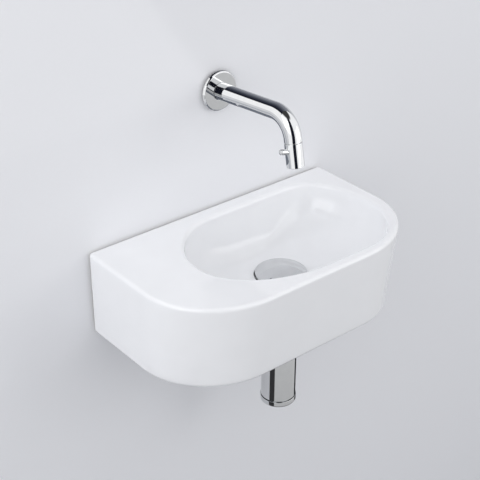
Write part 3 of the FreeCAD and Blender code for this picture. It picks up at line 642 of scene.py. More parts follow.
def spout_places():
    """Foot of the spout, centre and end of its bend, and top of its sleeve."""
    fittings = bpy.context.scene.basin_fittings
    centre = middle("tap_rosette")
    foot = Vector((centre.x, 0, centre.z))
    rise, bend = fittings.tube_rise, fittings.bend
    start = foot + side_way(-rise) * fittings.tube_run
    hub = start + side_way(math.pi / 2 - rise) * fittings.bend_radius
    end = hub - side_way(math.pi / 2 + bend - rise) * fittings.bend_radius
    return foot, hub, end, end + side_way(bend - rise) * fittings.tube_tail


def between(first, second, share):
    """Numbers a share of the way from one list to another."""
    return [a + (b - a) * share for a, b in zip(first, second)]


# Ways from each corner of the basin to its middle, and the shares of the bowl's width and depth that
# the corner's round takes up at the rim and at the floor.
CORNER_WAYS = {"back_left": (1, -1), "back_right": (-1, -1), "front_right": (-1, 1), "front_left": (1, 1)}
RIM_SHARES = {"back_left": (0.33, 0.5), "back_right": (0.21, 0.47),
              "front_right": (0.29, 0.43), "front_left": (0.49, 0.5)}
FLOOR_SHARES = {"back_left": (0.46, 0.5), "back_right": (0.46, 0.46),
                "front_right": (0.46, 0.46), "front_left": (0.46, 0.5)}


def blank_corners(sizes, share, inset):
    """Corner sizes of the basin's outline at a share of the way down, drawn in by an inset."""
    back = max(0.3 * MM, sizes.back_corner - inset)
    right = [part - inset for part in between(sizes.right_corner, sizes.low_right_corner, share)]
    left = [part - inset for part in between(sizes.left_corner, sizes.low_left_corner, share)]
    return {"back_left": (back, back), "back_right": (back, back), "front_right": right, "front_left": left}


def outline_loop(box, corners, height, arc=30, run=14):
    """Points round a box whose corners are quarter ellipses, from the back left corner on."""
    left, right, front, back = box
    stretches = []
    for name, (way_x, way_y) in CORNER_WAYS.items():
        width, depth = corners[name]
        centre = Vector(((left if way_x > 0 else right) + way_x * width,
                         (front if way_y > 0 else back) + way_y * depth, height))
        curve = [centre - Vector((way_x * width * math.cos(angle), way_y * depth * math.sin(angle), 0))
                 for angle in quarter(arc)]
        stretches.append(curve if way_x * way_y < 0 else curve[::-1])
    points = []
    for curve, after in zip(stretches, stretches[1:] + stretches[:1]):
        points += curve
        points += [curve[-1].lerp(after[0], step / run) for step in range(1, run)]
    return points


class HANDBASIN_OT_basin(bpy.types.Operator):
    """Glazed basin with its off-centre bowl, rolled lip and hollow underside"""
    bl_idname = "handbasin.basin"
    bl_label = "Basin"

    def bowl_loop(self, share, grow, height):
        """Outline of the bowl between its rim and its floor, widened by grow."""
        sizes = bpy.context.scene.basin_sizes
        drain, reach, half = drain_axis(), sizes.floor_radius, sizes.width / 2
        rim = (sizes.rim_left - half, half - sizes.rim_right, sizes.rim_front - sizes.depth, -sizes.rim_back)
        floor = (drain.x - reach, drain.x + reach, drain.y - reach, drain.y + reach)
        left, right, front, back = between(rim, floor, share)
        box = (left - grow, right + grow, front - grow, back + grow)
        corners = {}
        for name in CORNER_WAYS:
            x_share, y_share = between(RIM_SHARES[name], FLOOR_SHARES[name], share)
            corners[name] = (x_share * (box[1] - box[0]), y_share * (box[3] - box[2]))
        return outline_loop(box, corners, height)

    def outer_box(self, share, inset, back):
        """Left, right, front and back of the outside at a share of the way down, drawn in by an inset."""
        sizes = bpy.context.scene.basin_sizes
        half = sizes.width / 2
        return (-half + sizes.left_taper * share + inset, half - sizes.right_taper * share - inset,
                -sizes.depth + sizes.front_taper * share + inset, back)

    def skirt_loop(self, inset, height):
        """Outer outline at a height, drawn in by an inset; the back stays almost flat on the wall."""
        low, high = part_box("basin")
        share = (high[2] - height) / (high[2] - low[2])
        corners = blank_corners(bpy.context.scene.basin_sizes, share, inset)
        return outline_loop(self.outer_box(share, inset, -inset * 0.02), corners, height)

    def wall_loops(self, top, depth, grow, steps):
        """Bowl wall that falls as a quarter ellipse from the rim to the floor."""
        return [self.bowl_loop(1 - math.cos(angle), grow, top - depth * math.sin(angle))
                for angle in quarter(steps)]

    def drain_rings(self, floor, bottom):
        """Radii and heights from the bowl's floor over the dish and the seat down through the drain hole."""
        sizes = bpy.context.scene.basin_sizes
        flange = floor - sizes.dish_drop
        seat = flange - sizes.seat_drop
        dish, dish_foot = sizes.seat_radius + 1.1 * MM, sizes.seat_radius + 0.5 * MM
        rings = [(sizes.floor_radius - MM, floor - 0.05 * MM)]
        steps = 8
        for step in range(steps + 1):
            fall = (1 - math.cos(math.pi * step / steps)) / 2
            rings.append((dish + (dish_foot - dish) * step / steps,
                          floor - 0.6 * MM - (sizes.dish_drop - 0.7 * MM) * fall))
        return rings + [(sizes.seat_radius, flange - 0.3 * MM), (sizes.seat_radius, seat),
                        (sizes.hole_radius, seat), (sizes.hole_radius, bottom)]

    def blank_loops(self):
        """Loops from the lip down the bowl, through the drain hole and up the outside to the deck."""
        sizes = bpy.context.scene.basin_sizes
        low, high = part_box("basin")
        top, bottom = high[2], low[2]
        lip, edge, foot = sizes.lip_round, sizes.top_round, sizes.bottom_round
        hold, sole = 0.15 * MM, foot * 1.4
        turns = quarter(8)
        loops = [self.bowl_loop(0, lip + hold, top)]
        loops += [self.bowl_loop(0, lip * (1 - math.sin(angle)), top - lip * (1 - math.cos(angle)))
                  for angle in turns[:-1]]
        loops += self.wall_loops(top - lip, sizes.bowl_depth - lip, 0, 30)
        drain = drain_axis()
        around = [(Vector((point.x, point.y, 0)) - drain).normalized() for point in loops[-1]]
        for radius, height in self.drain_rings(top - sizes.bowl_depth, bottom):
            loops.append([drain + way * radius + UP * height for way in around])
        loops.append(self.skirt_loop(sole, bottom))
        loops += [self.skirt_loop(foot * (1 - math.sin(angle)), bottom + foot * (1 - math.cos(angle)))
                  for angle in turns]
        loops += [self.skirt_loop(0, bottom + foot + (top - edge - bottom - foot) * share)
                  for share in (0.03, 0.5, 0.97)]
        loops += [self.skirt_loop(edge * (1 - math.cos(angle)), top - edge * (1 - math.sin(angle)))
                  for angle in turns]
        return loops + [self.skirt_loop(edge + hold, top)]

    def execute(self, context):
        sizes = context.scene.basin_sizes
        low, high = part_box("basin")
        body = stack("basin_body", self.blank_loops(), loop=False, caps=False)
        wall, inner_round, past = sizes.skirt_wall, 18 * MM, 2
        corners = blank_corners(sizes, 1, wall)
        corners["back_left"] = corners["back_right"] = (inner_round, inner_round)
        heights = (low[2] - past * MM, high[2] - sizes.deck_wall)
        box = self.outer_box(1, wall, -wall)
        pocket = stack("pocket", [outline_loop(box, corners, height) for height in heights], loop=False)
        loops = self.wall_loops(high[2], sizes.bowl_depth + sizes.floor_wall, sizes.bowl_wall, 16)
        combined(body, combined(pocket, stack("shell", loops, loop=False)))
        hole = bar(sizes.stud_hole / MM, -past, wall / MM + past)
        for side in (-1, 1):
            combined(body, turned("stud_hole", hole, Vector((side * STUD_SPACING / 2, 0, 0)), FRONT, 48))
        dressed(body, "glaze", "fixed", "basin", crease=40)
        return {"FINISHED"}


class HANDBASIN_OT_wall_fixing(bpy.types.Operator):
    """Threaded studs, washers and nuts that hold the basin on the wall"""
    bl_idname = "handbasin.wall_fixing"
    bl_label = "Wall fixing"

    def stud(self, base, pitch):
        """Rod with a plain shank between two threads."""
        back, front = from_wall("wall_studs")
        core, shank, shank_back, shank_front, point = 4.25, 4.45, -2, 12, 1.2
        outline = [(0, back, 0), (3.2, back, 0), (core, back + point, 0), (core, shank_back, 0),
                   (shank, shank_back, 0), (shank, shank_front, 0), (core, shank_front, 0),
                   (core, front - 0.9, 0), (3.4, front, 0), (0, front, 0)]
        made = turned("wall_stud_pair", outline, base, FRONT, 48)
        for start, end in ((back + point, shank_back - 0.2), (shank_front + 0.4, front - 1.1)):
            length = (end - start) * MM
            worked(made, thread_tree, "steel", radius=(core + 0.05) * MM, turns=length / pitch, length=length,
                   ridge=THREAD_RIDGE, foot=tuple(base + FRONT * start * MM), turn=turn_to(FRONT))
        paired(made, "steel", "wall_studs", crease=25)

    def nut(self, base):
        """Nut with a countersunk bore and bevelled corners."""
        back, front = from_wall("stud_nuts")
        sink, face, corner = 5.7, 8.3, 10
        outline = [(STUD_BORE, back + 0.6, 0), (sink, back, 0), (face, back, 0), (corner, back + 1, 0),
                   (corner, front - 1, 0), (face, front, 0), (sink, front, 0), (STUD_BORE, front - 0.6, 0)]
        paired(hex_nut("stud_nut_pair", 17, outline, base, FRONT), "steel", "stud_nuts", crease=25)

    def sleeve(self, base):
        """Plastic bush with a flange under the washer."""
        front = from_wall("stud_sleeves")[1]
        flange_back, bush, flange = front - 2.5, 7.45, 11.5
        outline = [(STUD_BORE, 0, 0), (bush, 0, 0.4), (bush, flange_back, 0.3), (flange, flange_back, 0.3),
                   (flange, front, 0.6), (STUD_BORE, front, 0)]
        paired(turned("stud_sleeve_pair", outline, base, FRONT, 64), "white_plastic", "stud_sleeves")

    def execute(self, context):
        base = Vector((-STUD_SPACING / 2, 0, 0))
        self.stud(base, context.scene.basin_fittings.thread_pitch)
        outline = ring(STUD_BORE, 10.5, *from_wall("stud_washers"), 0.2, 0.3)
        paired(turned("stud_washer_pair", outline, base, FRONT, 64), "steel", "stud_washers")
        self.nut(base)
        self.sleeve(base)
        return {"FINISHED"}


class HANDBASIN_OT_waste(bpy.types.Operator):
    """Threaded waste with its flange, bridge, washer and back nut"""
    bl_idname = "handbasin.waste"
    bl_label = "Waste"

    def tail(self, axis, low, high):
        """Tube with an outer thread and a flange that sits in the basin."""
        bore, thread, flange, under = 17, 20.2, 31.5, high - 2.5
        outline = [(bore, low, 0.3), (thread, low, 0.4), (thread, under, 0.5), (flange, under, 0.4),
                   (flange, high, 0.9), (18.5, high, 0.4), (bore, high - 2, 0.4)]
        made = turned("waste_tail", outline, axis, UP, 128)
        worked(made, thread_tree, "chrome", radius=(thread + 0.05) * MM, turns=14.0, length=24 * MM,
               ridge=THREAD_RIDGE, foot=tuple(axis + UP * (low + 1) * MM), turn=(0, 0, 0))
        return made

    def bridge(self, axis, top):
        """Hub on three arms that carries the plug's cartridge."""
        foot = top - 8
        hub = turned("waste_bridge", ring(8.2, 10.2, foot, top, 0.3, 0.3), axis, UP, 48)
        start, end, half = 9.5, 17.4, 1.5
        plan = ((start, -half), (end, -half), (end, half), (start, half))
        for arm in range(3):
            turn = Matrix.Rotation(2 * math.pi * arm / 3, 3, "Z")
            loops = [[axis + turn @ Vector((x * MM, y * MM, z * MM)) for x, y in plan] for z in (foot, top)]
            combined(hub, stack("arm", loops, loop=False), "UNION")
        return hub

    def execute(self, context):
        axis = drain_axis()
        low, high = span("waste_body")
        tail, hub = self.tail(axis, low, high), self.bridge(axis, high - 18)
        dressed(tail, "chrome", "fixed", "waste_body", crease=25)
        dressed(hub, "chrome", "fixed", "waste_body")
        low, high = span("waste_backnut")
        bore, face, corner, bevel = 21, 25.2, 28.6, 1.6
        outline = [(bore, low, 0.3), (face, low, 0), (corner, low + bevel, 0), (corner, high - bevel, 0),
                   (face, high, 0), (bore, high, 0.3)]
        dressed(hex_nut("waste_nut", 50, outline, axis, UP), "brass", "fixed", "waste_backnut", crease=25)
        plate = turned("waste_plate", ring(bore, 30, *span("waste_washer"), 0.2, 0.5), axis, UP)
        dressed(plate, "white_plastic", "fixed", "waste_washer")
        seal = turned("waste_gasket", ring(bore, 29, *span("waste_bottom_seal"), 0.2, 1.2), axis, UP)
        dressed(seal, "rubber", "fixed", "waste_bottom_seal")
        return {"FINISHED"}


class HANDBASIN_OT_plug(bpy.types.Operator):
    """Domed push plug over the drain, with its seal and its return spring"""
    bl_idname = "handbasin.plug"
    bl_label = "Push plug"

    def cap(self, axis, under):
        """Dome with a thin skirt and a boss for the stem."""
        low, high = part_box("plug_cap")
        radius = (high[0] - low[0]) / 2 / MM - 0.8
        top, foot = high[2] / MM, low[2] / MM
        edge, rim, inside = under + 0.5, under - 1.9, radius - 0.9
        boss, stem, steps = 7.5, 4, 24
        rise = top - edge
        ball = (radius ** 2 + rise ** 2) / (2 * rise)
        reach = math.asin(radius / ball)
        angles = [reach * step / steps for step in range(steps)]
        outline = [(ball * math.sin(angle), top - ball * (1 - math.cos(angle)), 0) for angle in angles]
        outline += [(radius, edge, 0.7), (radius, rim, 0.3), (inside, rim, 0.3), (inside, under, 0),
                    (boss, under, 0.4), (boss, foot, 0.4), (stem, foot, 0.2), (stem, under, 0), (0, under, 0)]
        dressed(turned("plug_dome", outline, axis, UP, 128), "chrome", "plug", "plug_cap")

    def coil(self, axis):
        """Return spring between the cartridge and the push rod."""
        low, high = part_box("plug_spring")
        wire, turns, steps = 0.6 * MM, 5, 36
        reach = (high[0] - low[0]) / 2 - wire
        foot, head = low[2] + wire, high[2] - wire
        climb = (head - foot) / (2 * math.pi * turns)
        loops = []
        for step in range(turns * steps + 1):
            angle = 2 * math.pi * step / steps
            out = Vector((math.cos(angle), math.sin(angle), 0))
            along = Vector((-out.y * reach, out.x * reach, climb)).normalized()
            centre = axis + out * reach + UP * (foot + (head - foot) * step / (turns * steps))
            loops.append(hoop(centre, out, along.cross(out), wire, 12))
        spring = stack("plug_coil", loops, loop=False)
        shaded(spring, "stem_metal", 40)
        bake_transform(spring)
        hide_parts("plug_spring")

    def execute(self, context):
        axis = drain_axis()
        low, high = span("plug_seal")
        self.cap(axis, high)
        bore, outer = 18.5, 24
        outline = [(bore, low, 0.3), (outer, low, 0.8), (outer, high, 0.2), (bore, high, 0.2)]
        dressed(turned("plug_gasket", outline, axis, UP), "rubber", "plug", "plug_seal")
        self.coil(axis)
        return {"FINISHED"}


class HANDBASIN_OT_trap(bpy.types.Operator):
    """Bottle trap with its nuts and screw-off cap"""
    bl_idname = "handbasin.trap"
    bl_label = "Bottle trap"

    def bottle(self, axis):
        """Upright bottle with a neck, a threaded foot for the cap and a boss for the outlet pipe."""
        low, high = span("trap_body")
        joint = span("trap_cap")[1] + 1.1
        shoulder = high - 12
        cone = shoulder - 3.5
        roof, step = cone - 1.8, joint + 1.8
        neck, outer, inner, thread, foot_bore = 20, 22.5, 20.7, 20.2, 18.2
        outline = [(PIPE_BORE, high, 0.3), (neck, high, 0.5), (neck, shoulder, 0.5), (outer, cone, 2),
                   (outer, joint, 0.35), (thread, joint, 0), (thread, low, 0), (foot_bore, low, 0),
                   (foot_bore, step, 0), (inner, step, 0), (inner, roof, 0), (PIPE_BORE, roof, 0)]
        body = turned("trap_bottle", outline, axis, UP, 128)
        base = Vector((axis.x, axis.y, middle("outlet_nut").z))
        bore, start, seat, end = 14.8, 19.5, 28, 38
        outline = [(bore, start, 0), (neck, start, 0), (neck, end, 0.5), (PIPE_BORE, end, 0.3),
                   (PIPE_BORE, seat, 0), (bore, seat, 0)]
        combined(body, turned("boss", outline, base, BACK, 96), "UNION")
        dressed(body, "chrome", "fixed", "trap_body")

    def execute(self, context):
        axis = drain_axis()
        self.bottle(axis)
        low, high = span("trap_cap")
        outer, thread, floor = 23.3, 20.25, low + 2
        cup = [(0, low, 0), (outer, low, 2.2), (outer, high, 0.35), (thread, high, 0),
               (thread, floor, 0), (0, floor, 0)]
        dressed(turned("trap_cup", cup, axis, UP, 128), "chrome", "fixed", "trap_cap")
        low, high = span("trap_inlet_nut")
        hand_nut("trap_top_nut", "trap_inlet_nut", low, high, 21, 26.5, axis, UP)
        low, high = span("trap_neck_nut")
        hand_nut("trap_collar_nut", "trap_neck_nut", high, low, 20.05, 25, axis, UP)
        return {"FINISHED"}


class HANDBASIN_OT_outlet_pipe(bpy.types.Operator):
    """Pipe from the trap into the wall, with its nut and its cover plate"""
    bl_idname = "handbasin.outlet_pipe"
    bl_label = "Outlet pipe"

    def execute(self, context):
        centre = middle("outlet_nut")
        base = Vector((centre.x, 0, centre.z))
        front, back = span("outlet_nut", 1)
        hand_nut("outlet_gland_nut", "outlet_nut", back, front, 20.05, 25, base, BACK)
        front, back = span("outlet_pipe", 1)
        bore, outer, groove, groove_front, groove_back = 14.8, 16, 15.7, 2, 3.5
        pipe = [(bore, front, 0), (outer, front, 0.3), (outer, groove_front, 0), (groove, groove_front, 0),
                (groove, groove_back, 0), (outer, groove_back, 0), (outer, back, 0.4), (bore, back, 0.3)]
        dressed(turned("wall_pipe", pipe, base, BACK, 96), "chrome", "fixed", "outlet_pipe")
        rim, height = 34, 9
        plate = [(PIPE_BORE, 0, 0), (rim, 0, 0), (rim, 2, 0.8), (18.3, height, 1.4), (PIPE_BORE, height, 0.3)]
        dressed(turned("pipe_cover", plate, base, FRONT, 128), "chrome", "fixed", "pipe_rosette")
        return {"FINISHED"}


class HANDBASIN_OT_spout(bpy.types.Operator):
    """Bent spout and its plate on the wall"""
    bl_idname = "handbasin.spout"
    bl_label = "Spout"

    def tube(self, fittings):
        """Bent tube with a rounded end, a spigot in the sleeve's skirt and a hole for its grub screw."""
        foot, hub, end, neck = spout_places()
        rise, bend, radius = fittings.tube_rise, fittings.bend, fittings.tube_radius
        first, last = side_way(-rise), side_way(bend - rise)
        tip = neck - last * fittings.sleeve_rise
        shares, steps = (0, 0.02, 0.08, 0.16, 0.3, 0.5, 0.7, 0.85, 0.95, 0.99), 60
        stations = [(foot + first * fittings.tube_run * share, first) for share in shares]
        for angle in [bend * step / steps for step in range(steps + 1)]:
            out = side_way(math.pi / 2 + angle - rise)
            stations.append((hub - out * fittings.bend_radius, side_way(angle - rise)))
        stations += [(end.lerp(tip, share), last) for share in (0.15, 0.6, 0.85)]
        edge = 0.35 * MM
        rings = [(point, way, radius) for point, way in stations]
        rings += [(tip - last * edge * (1 - math.sin(angle)), last, radius - edge * (1 - math.cos(angle)))
                  for angle in quarter(4)]
        bore = radius - fittings.tube_wall
        spigot = bore + 0.1 * MM
        rings += [(tip, last, spigot), (neck, last, spigot), (neck, last, bore)]
        rings += [(point, way, bore) for point, way in stations[::-1]]
        loops = [hoop(point, ACROSS, way.cross(ACROSS), reach, 96) for point, way, reach in rings]
        for place in (0, -1):
            loops[place] = [spot - first * (spot.y / first.y) for spot in loops[place]]
        tube = stack("spout_bend", loops)
        screw = foot + first * 12 * MM
        combined(tube, turned("screw_hole", bar(2.55, 6, 14), screw, side_way(math.pi / 2 - rise), 32))
        dressed(tube, "chrome", "fixed", "spout_tube")

    def execute(self, context):
        fittings = context.scene.basin_fittings
        self.tube(fittings)
        back, front = from_wall("tap_rosette")
        radius, bore, bevel = fittings.rosette_radius / MM, 10.9, 1.2
        plate = [(bore, back, 0), (radius, back, 0.2), (radius, front - bevel, 0.5),
                 (radius - bevel, front, 0.5), (bore, front, 0.25)]
        dressed(turned("wall_plate", plate, spout_places()[0], FRONT, 160), "chrome", "fixed", "tap_rosette")
        return {"FINISHED"}


class HANDBASIN_OT_turning_outlet(bpy.types.Operator):
    """Turning sleeve with its lever pin"""
    bl_idname = "handbasin.turning_outlet"
    bl_label = "Turning outlet"

    def execute(self, context):
        fittings = context.scene.basin_fittings
        tip = spout_places()[-1]
        way = side_way(fittings.bend - fittings.tube_rise)
        top, long, outer = fittings.sleeve_joint / MM, fittings.sleeve_length / MM, fittings.tube_radius / MM
        skirt, skirt_bore = top + 0.4 - fittings.sleeve_rise / MM, 9.25
        throat, seat, groove, groove_top, groove_foot, ledge = 6.8, 8.05, 9, 2.8, 4.3, 5
        mouth = long - MOUTH_DEPTH
        outline = [(skirt_bore, skirt, 0), (outer, skirt, 0.35), (outer, long, 0.6),
                   (MOUTH_RADIUS, long, 0.3), (MOUTH_RADIUS, mouth, 0), (throat, mouth, 0), (throat, ledge, 0),
                   (seat, ledge, 0), (seat, groove_foot, 0), (groove, groove_foot, 0), (groove, groove_top, 0),
                   (seat, groove_top, 0), (seat, top, 0), (skirt_bore, top, 0)]
        dressed(turned("outlet_sleeve", outline, tip, way, 128), "chrome", "outlet", "turning_sleeve")
        tilt, thick = fittings.lever_tilt, fittings.lever_radius / MM
        along = Vector((-math.cos(tilt), 0, 0)) - way * math.sin(tilt)
        surface = outer / math.cos(tilt)
        root, end = surface - 2.4, surface + fittings.lever_reach / MM
        pin = [(0, root, 0), (thick, root, 0), (thick, end - 0.4, 1.4), (thick * 0.5, end, 3), (0, end, 0)]
        lever = turned("outlet_pin", pin, tip + way * fittings.lever_place, along, 64)
        dressed(lever, "chrome", "outlet", "lever_pin")
        return {"FINISHED"}


class HANDBASIN_OT_aerator(bpy.types.Operator):
    """Jet former in the tip of the spout"""
    bl_idname = "handbasin.aerator"
    bl_label = "Jet former"

    def execute(self, context):
        fittings = context.scene.basin_fittings
        base = spout_places()[-1]
        way = side_way(fittings.bend - fittings.tube_rise)
        long = fittings.sleeve_length / MM
        tip, top = long - 0.8, long - MOUTH_DEPTH
        inner, jet, plate_top, plate_foot = 6.9, 5.3, tip - 4, tip - 2.4
        shell = [(inner, top, 0), (MOUTH_RADIUS, top, 0), (MOUTH_RADIUS, tip, 0.4), (jet, tip, 0.4),
                 (jet, plate_foot, 0), (inner, plate_foot, 0)]
        dressed(turned("jet_shell", shell, base, way, 96), "chrome", "outlet", "aerator_shell")
        screen = turned("jet_sieve", bar(inner, plate_top, plate_foot, 0.2), base, way, 64)
        worked(screen, sieve_tree, "white_plastic", step=1.5 * MM, hole=0.55 * MM, depth=6 * MM,
               foot=tuple(base + way * (tip - 3.2) * MM), turn=turn_to(way))
        dressed(screen, "white_plastic", "outlet", "aerator_screen")
        return {"FINISHED"}


class HANDBASIN_OT_hidden_pieces(bpy.types.Operator):
    """Finishes of the seals, discs and other pieces kept as they were drawn"""
    bl_idname = "handbasin.hidden_pieces"
    bl_label = "Hidden pieces"

    def execute(self, context):
        for subpart in frame["record"]["subparts"]:
            node = frame["nodes"][subpart["node"]]
            node.data.materials.clear()
            node.data.materials.append(material_for(subpart["material_slot"]))
        return {"FINISHED"}


class HANDBASIN_OT_stage(bpy.types.Operator):
    """Pale wall and floor, soft light and the camera; places in metres"""
    bl_idname = "handbasin.stage"
    bl_label = "Stage"

    def sheet(self, name, corners, material):
        """Flat stage panel."""
        mesh = bpy.data.meshes.new(name)
        mesh.from_pydata(corners, [], [tuple(range(len(corners)))])
        mesh.materials.append(material)
        made = bpy.data.objects.new(name, mesh)
        bpy.context.scene.collection.objects.link(made)
        return made

    def paint(self, name, tone):
        """Matt paint, seen only from the room's side."""
        # Even and pale, with the faint stipple of a roller.
        material, tree, shader, place = finish(name, {"IOR": 1.45})
        mottle(tree, shader, place, tone, 3, (0.99, 1.0), (0.8, 0.9), 0.02)
        behind = add(tree, "ShaderNodeNewGeometry").outputs["Backfacing"]
        clear = add(tree, "ShaderNodeBsdfTransparent")
        both = add(tree, "ShaderNodeMixShader", {0: behind, 1: shader, 2: clear})
        tree.links.new(both.outputs[0], tree.nodes["Material Output"].inputs["Surface"])
        return material

    def card(self, name, corners, shade, glow=1.0):
        """Glowing sheet that only polished metal and glaze can see: a painted reflection that lights nothing
        and casts no shade.
        """
        material, tree = blank(name)
        light = add(tree, "ShaderNodeEmission", {"Color": colour(linear(shade)), "Strength": glow})
        add(tree, "ShaderNodeOutputMaterial", {"Surface": light})
        made = self.sheet(name, corners, material)
        for ray in ("camera", "diffuse", "shadow", "transmission"):
            setattr(made, "visible_" + ray, False)

    def fan(self, centre, start, end, reach):
        """Corners of a slice of a disc that lies against the wall."""
        turns = [math.radians(start + (end - start) * step / 12) for step in range(13)]
        return [centre] + [centre + Vector((math.cos(turn), 0, math.sin(turn))) * reach for turn in turns]

    def strip(self, axis, bearing, half, reach, low, high):
        """Corners of an upright strip at a distance from an axis; a bearing of zero faces the wall."""
        turn = math.radians(bearing)
        way = Vector((math.sin(turn), math.cos(turn), 0))
        across = Vector((way.y, -way.x, 0)) * reach * math.tan(math.radians(half))
        spot = Vector((axis.x, axis.y, 0)) + way * reach
        return [spot - across + UP * low, spot + across + UP * low,
                spot + across + UP * high, spot - across + UP * high]

    def room(self):
        """Soft white light, dimmer overhead and stronger from the left; polished metal and glaze see a painted
        reflection instead: a pale floor, white sides and a dark ceiling that light nothing.
        """
        world = bpy.data.worlds.new("Room")
        bpy.context.scene.world = world
        world.use_nodes = True
        tree = world.node_tree
        tree.nodes.clear()
        way = add(tree, "ShaderNodeSeparateXYZ", {0: add(tree, "ShaderNodeTexCoord")}).outputs
        height = add(tree, "ShaderNodeMapRange", {"Value": way["Z"], "From Min": -1.0, "From Max": 1.0})
        tones = add(tree, "ShaderNodeValToRGB", {"Fac": height})
        stops = tones.color_ramp.elements
        for place, shade in ((0.12, 0.22), (0.21, 0.52), (0.30, 0.54), (0.318, 0.58), (0.345, 1.0),
                             (0.92, 1.0), (0.95, 0.05)):
            stops.new(place).color = (shade * 0.985, shade * 0.99, shade, 1.0)
        stops.remove(stops[0])
        stops.remove(stops[-1])
        level = add(tree, "ShaderNodeMapRange", {"Value": way["Z"], "From Min": 0.35, "From Max": 1.0,
                                                 "To Min": 0.88, "To Max": 0.75})
        slant = add(tree, "ShaderNodeMapRange", {"Value": way["X"], "From Min": -1.0, "From Max": 1.0,
                                                 "To Min": 1.18, "To Max": 0.82})
        power = add(tree, "ShaderNodeMath", {0: level, 1: slant}, operation="MULTIPLY")
        plain = add(tree, "ShaderNodeBackground", {"Color": colour(linear("#FBFBFD")), "Strength": power})
        # Painted reflection: only glossy rays see this tone ramp, brighter than white at the sides and almost
        # black overhead.
        mirrored = add(tree, "ShaderNodeBackground", {"Color": tones, "Strength": 1.25})
        glossy = add(tree, "ShaderNodeLightPath").outputs["Is Glossy Ray"]
        both = add(tree, "ShaderNodeMixShader", {0: glossy, 1: plain, 2: mirrored})
        add(tree, "ShaderNodeOutputWorld", {"Surface": both})

    def lamp(self, name, place, target, width, power):
        """Soft square lamp."""
        light = bpy.data.lights.new(name, "AREA")
        light.shape = "RECTANGLE"
        light.size = light.size_y = width
        light.energy = power
        made = bpy.data.objects.new(name, light)
        made.location = place
        made.rotation_euler = (Vector(target) - Vector(place)).to_track_quat("-Z", "Y").to_euler()
        bpy.context.scene.collection.objects.link(made)
        return made

    def cards(self):
        """Painted reflections that the spout, the plug, the trap and the glaze mirror, on sheets that no other
        ray sees.
        """
        drain, places = drain_axis(), spout_places()
        foot, tip = places[0], places[-1]
        # Painted highlight: a bright glowing sheet with no lamp in it, mirrored as a window in the bowl and
        # along the deck's front edge.
        self.card("window_card", self.strip(drain, 145, 24, 2.5, -0.2, 1.3), "#FFFFFF", 2.4)
        # Painted dark reflection: a fan of sheets against the wall, fading from grey to near black, that the
        # spout mirrors as its dark band.
        hub = foot + FRONT * 0.5 * MM
        start, slice_angle = 28, 14
        for shade in ("#A8ABB3", "#989BA4", "#83868F", "#686B75", "#484B56", "#2D303C", "#20232E"):
            self.card("dark_wall_card", self.fan(hub, start, start + slice_angle, 3.0), shade)
            start += slice_angle
        # Painted reflections round the spout's foot: brighter than white, pale and grey sheets to the left and
        # a small dark one below.
        self.card("bright_wall_card", self.fan(hub, 126, 180, 1.0), "#FFFFFF", 1.25)
        self.card("pale_wall_card", self.fan(hub, 180, 204, 1.0), "#F0F1F4")
        self.card("grey_wall_card", self.fan(hub, 204, 222, 1.0), "#CFD2D8")
        self.card("low_wall_card", self.fan(hub, 240, 320, 0.05), "#6A6F7B")
        # Painted grey reflection under the spout, on a flat sheet that only glossy rays see.
        below = foot + Vector((0, -2, -50)) * MM
        left, right, near = -35, 18, -122
        plan = ((left, 0), (right, 0), (right, near), (left, near))
        self.card("low_card", [below + Vector((x, y, 0)) * MM for x, y in plan], "#7C818B")
        # Painted dark reflections on the spout and on both sides of the trap, on sheets that cast no shade.
        self.card("dark_flag_before_the_spout", self.strip(tip, -150, 18, 1.5, -0.3, 3.5), "#1A1D28")
        self.card("dark_flag_left_of_the_trap", self.strip(drain, -99, 17, 0.25, -0.5, -0.05), "#3A3A3C")
        self.card("dark_flag_right_of_the_trap", self.strip(drain, 75, 22, 0.12, -0.5, -0.05), "#2E2E32")

    def camera(self, scene):
        """Long lens that looks down on the basin from its left."""
        camera = bpy.data.objects.new("Camera", bpy.data.cameras.new("Camera"))
        camera.data.lens = 88.35
        camera.data.sensor_width = 36
        place = Vector((-0.7935, -1.0163, 0.7851))
        yaw, pitch, roll = [math.radians(degrees) for degrees in (39.52, 30, 0.25)]
        ahead = Vector((math.sin(yaw) * math.cos(pitch), math.cos(yaw) * math.cos(pitch), -math.sin(pitch)))
        level = Vector((math.cos(yaw), -math.sin(yaw), 0))
        above = level.cross(ahead)
        right = level * math.cos(roll) + above * math.sin(roll)
        above = above * math.cos(roll) - level * math.sin(roll)
        camera.matrix_world = Matrix.Translation(place) @ Matrix((right, above, -ahead)).transposed().to_4x4()
        scene.collection.objects.link(camera)
        scene.camera = camera

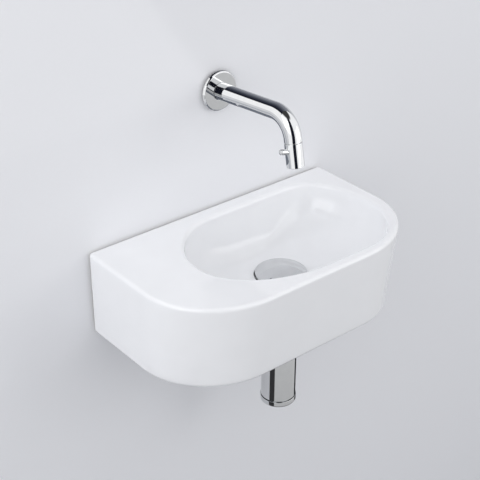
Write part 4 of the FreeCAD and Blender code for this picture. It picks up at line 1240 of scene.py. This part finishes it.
    def execute(self, context):
        finishes = context.scene.basin_finishes
        side, wall_place, wall_top, ground, near, far = 2.5, 0.0035, 2.2, -0.76, -3.5, 3.0
        wall = self.sheet("wall", [(-side, wall_place, ground), (side, wall_place, ground),
                                   (side, wall_place, wall_top), (-side, wall_place, wall_top)],
                          self.paint("Wall paint, rolled", finishes.wall))
        wall.visible_shadow = False
        floor = self.sheet("floor", [(-side, near, ground), (side, near, ground),
                                     (side, far, ground), (-side, far, ground)],
                           self.paint("Floor paint, rolled", finishes.floor))
        # Metal and glaze mirror the painted reflection of the room instead of this floor.
        floor.visible_glossy = False
        self.room()
        self.lamp("key_lamp", (-1.0, -0.3, 0.72), (-0.2, -0.05, 0.2), 0.9, 2.7)
        self.lamp("fill_lamp", (0.8, -1.15, 0.47), (0, -0.1, 0.05), 0.55, 1.9).visible_glossy = False
        self.cards()
        self.camera(context.scene)
        context.scene.view_settings.view_transform = "Standard"
        return {"FINISHED"}


class HANDBASIN_PT_panel(bpy.types.Panel):
    """Sidebar list of the basin's pieces and sizes"""
    bl_idname = "HANDBASIN_PT_panel"
    bl_label = "Hand Basin"
    bl_space_type = "VIEW_3D"
    bl_region_type = "UI"
    bl_category = "Hand Basin"

    def draw(self, context):
        for operator in OPERATORS:
            self.layout.operator(operator.bl_idname)
        for group in (context.scene.basin_sizes, context.scene.basin_fittings, context.scene.basin_finishes):
            column = self.layout.column()
            for name in group.__annotations__:
                column.prop(group, name)


OPERATORS = (
    HANDBASIN_OT_hidden_pieces,
    HANDBASIN_OT_basin,
    HANDBASIN_OT_wall_fixing,
    HANDBASIN_OT_waste,
    HANDBASIN_OT_plug,
    HANDBASIN_OT_trap,
    HANDBASIN_OT_outlet_pipe,
    HANDBASIN_OT_spout,
    HANDBASIN_OT_turning_outlet,
    HANDBASIN_OT_aerator,
    HANDBASIN_OT_stage,
)
GROUPS = {
    "basin_sizes": HANDBASIN_PG_basin,
    "basin_fittings": HANDBASIN_PG_fittings,
    "basin_finishes": HANDBASIN_PG_finishes,
}


def register():
    for made in tuple(GROUPS.values()) + OPERATORS + (HANDBASIN_PT_panel,):
        bpy.utils.register_class(made)
    for name, group in GROUPS.items():
        setattr(bpy.types.Scene, name, PointerProperty(type=group))


def unregister():
    for name in GROUPS:
        delattr(bpy.types.Scene, name)
    for made in (HANDBASIN_PT_panel,) + OPERATORS[::-1] + tuple(GROUPS.values())[::-1]:
        bpy.utils.unregister_class(made)


def main():
    register()
    bpy.ops.handbasin.hidden_pieces()
    bpy.ops.handbasin.basin()
    bpy.ops.handbasin.wall_fixing()
    bpy.ops.handbasin.waste()
    bpy.ops.handbasin.plug()
    bpy.ops.handbasin.trap()
    bpy.ops.handbasin.outlet_pipe()
    bpy.ops.handbasin.spout()
    bpy.ops.handbasin.turning_outlet()
    bpy.ops.handbasin.aerator()
    bpy.ops.handbasin.stage()


if __name__ == "__main__":
    main()
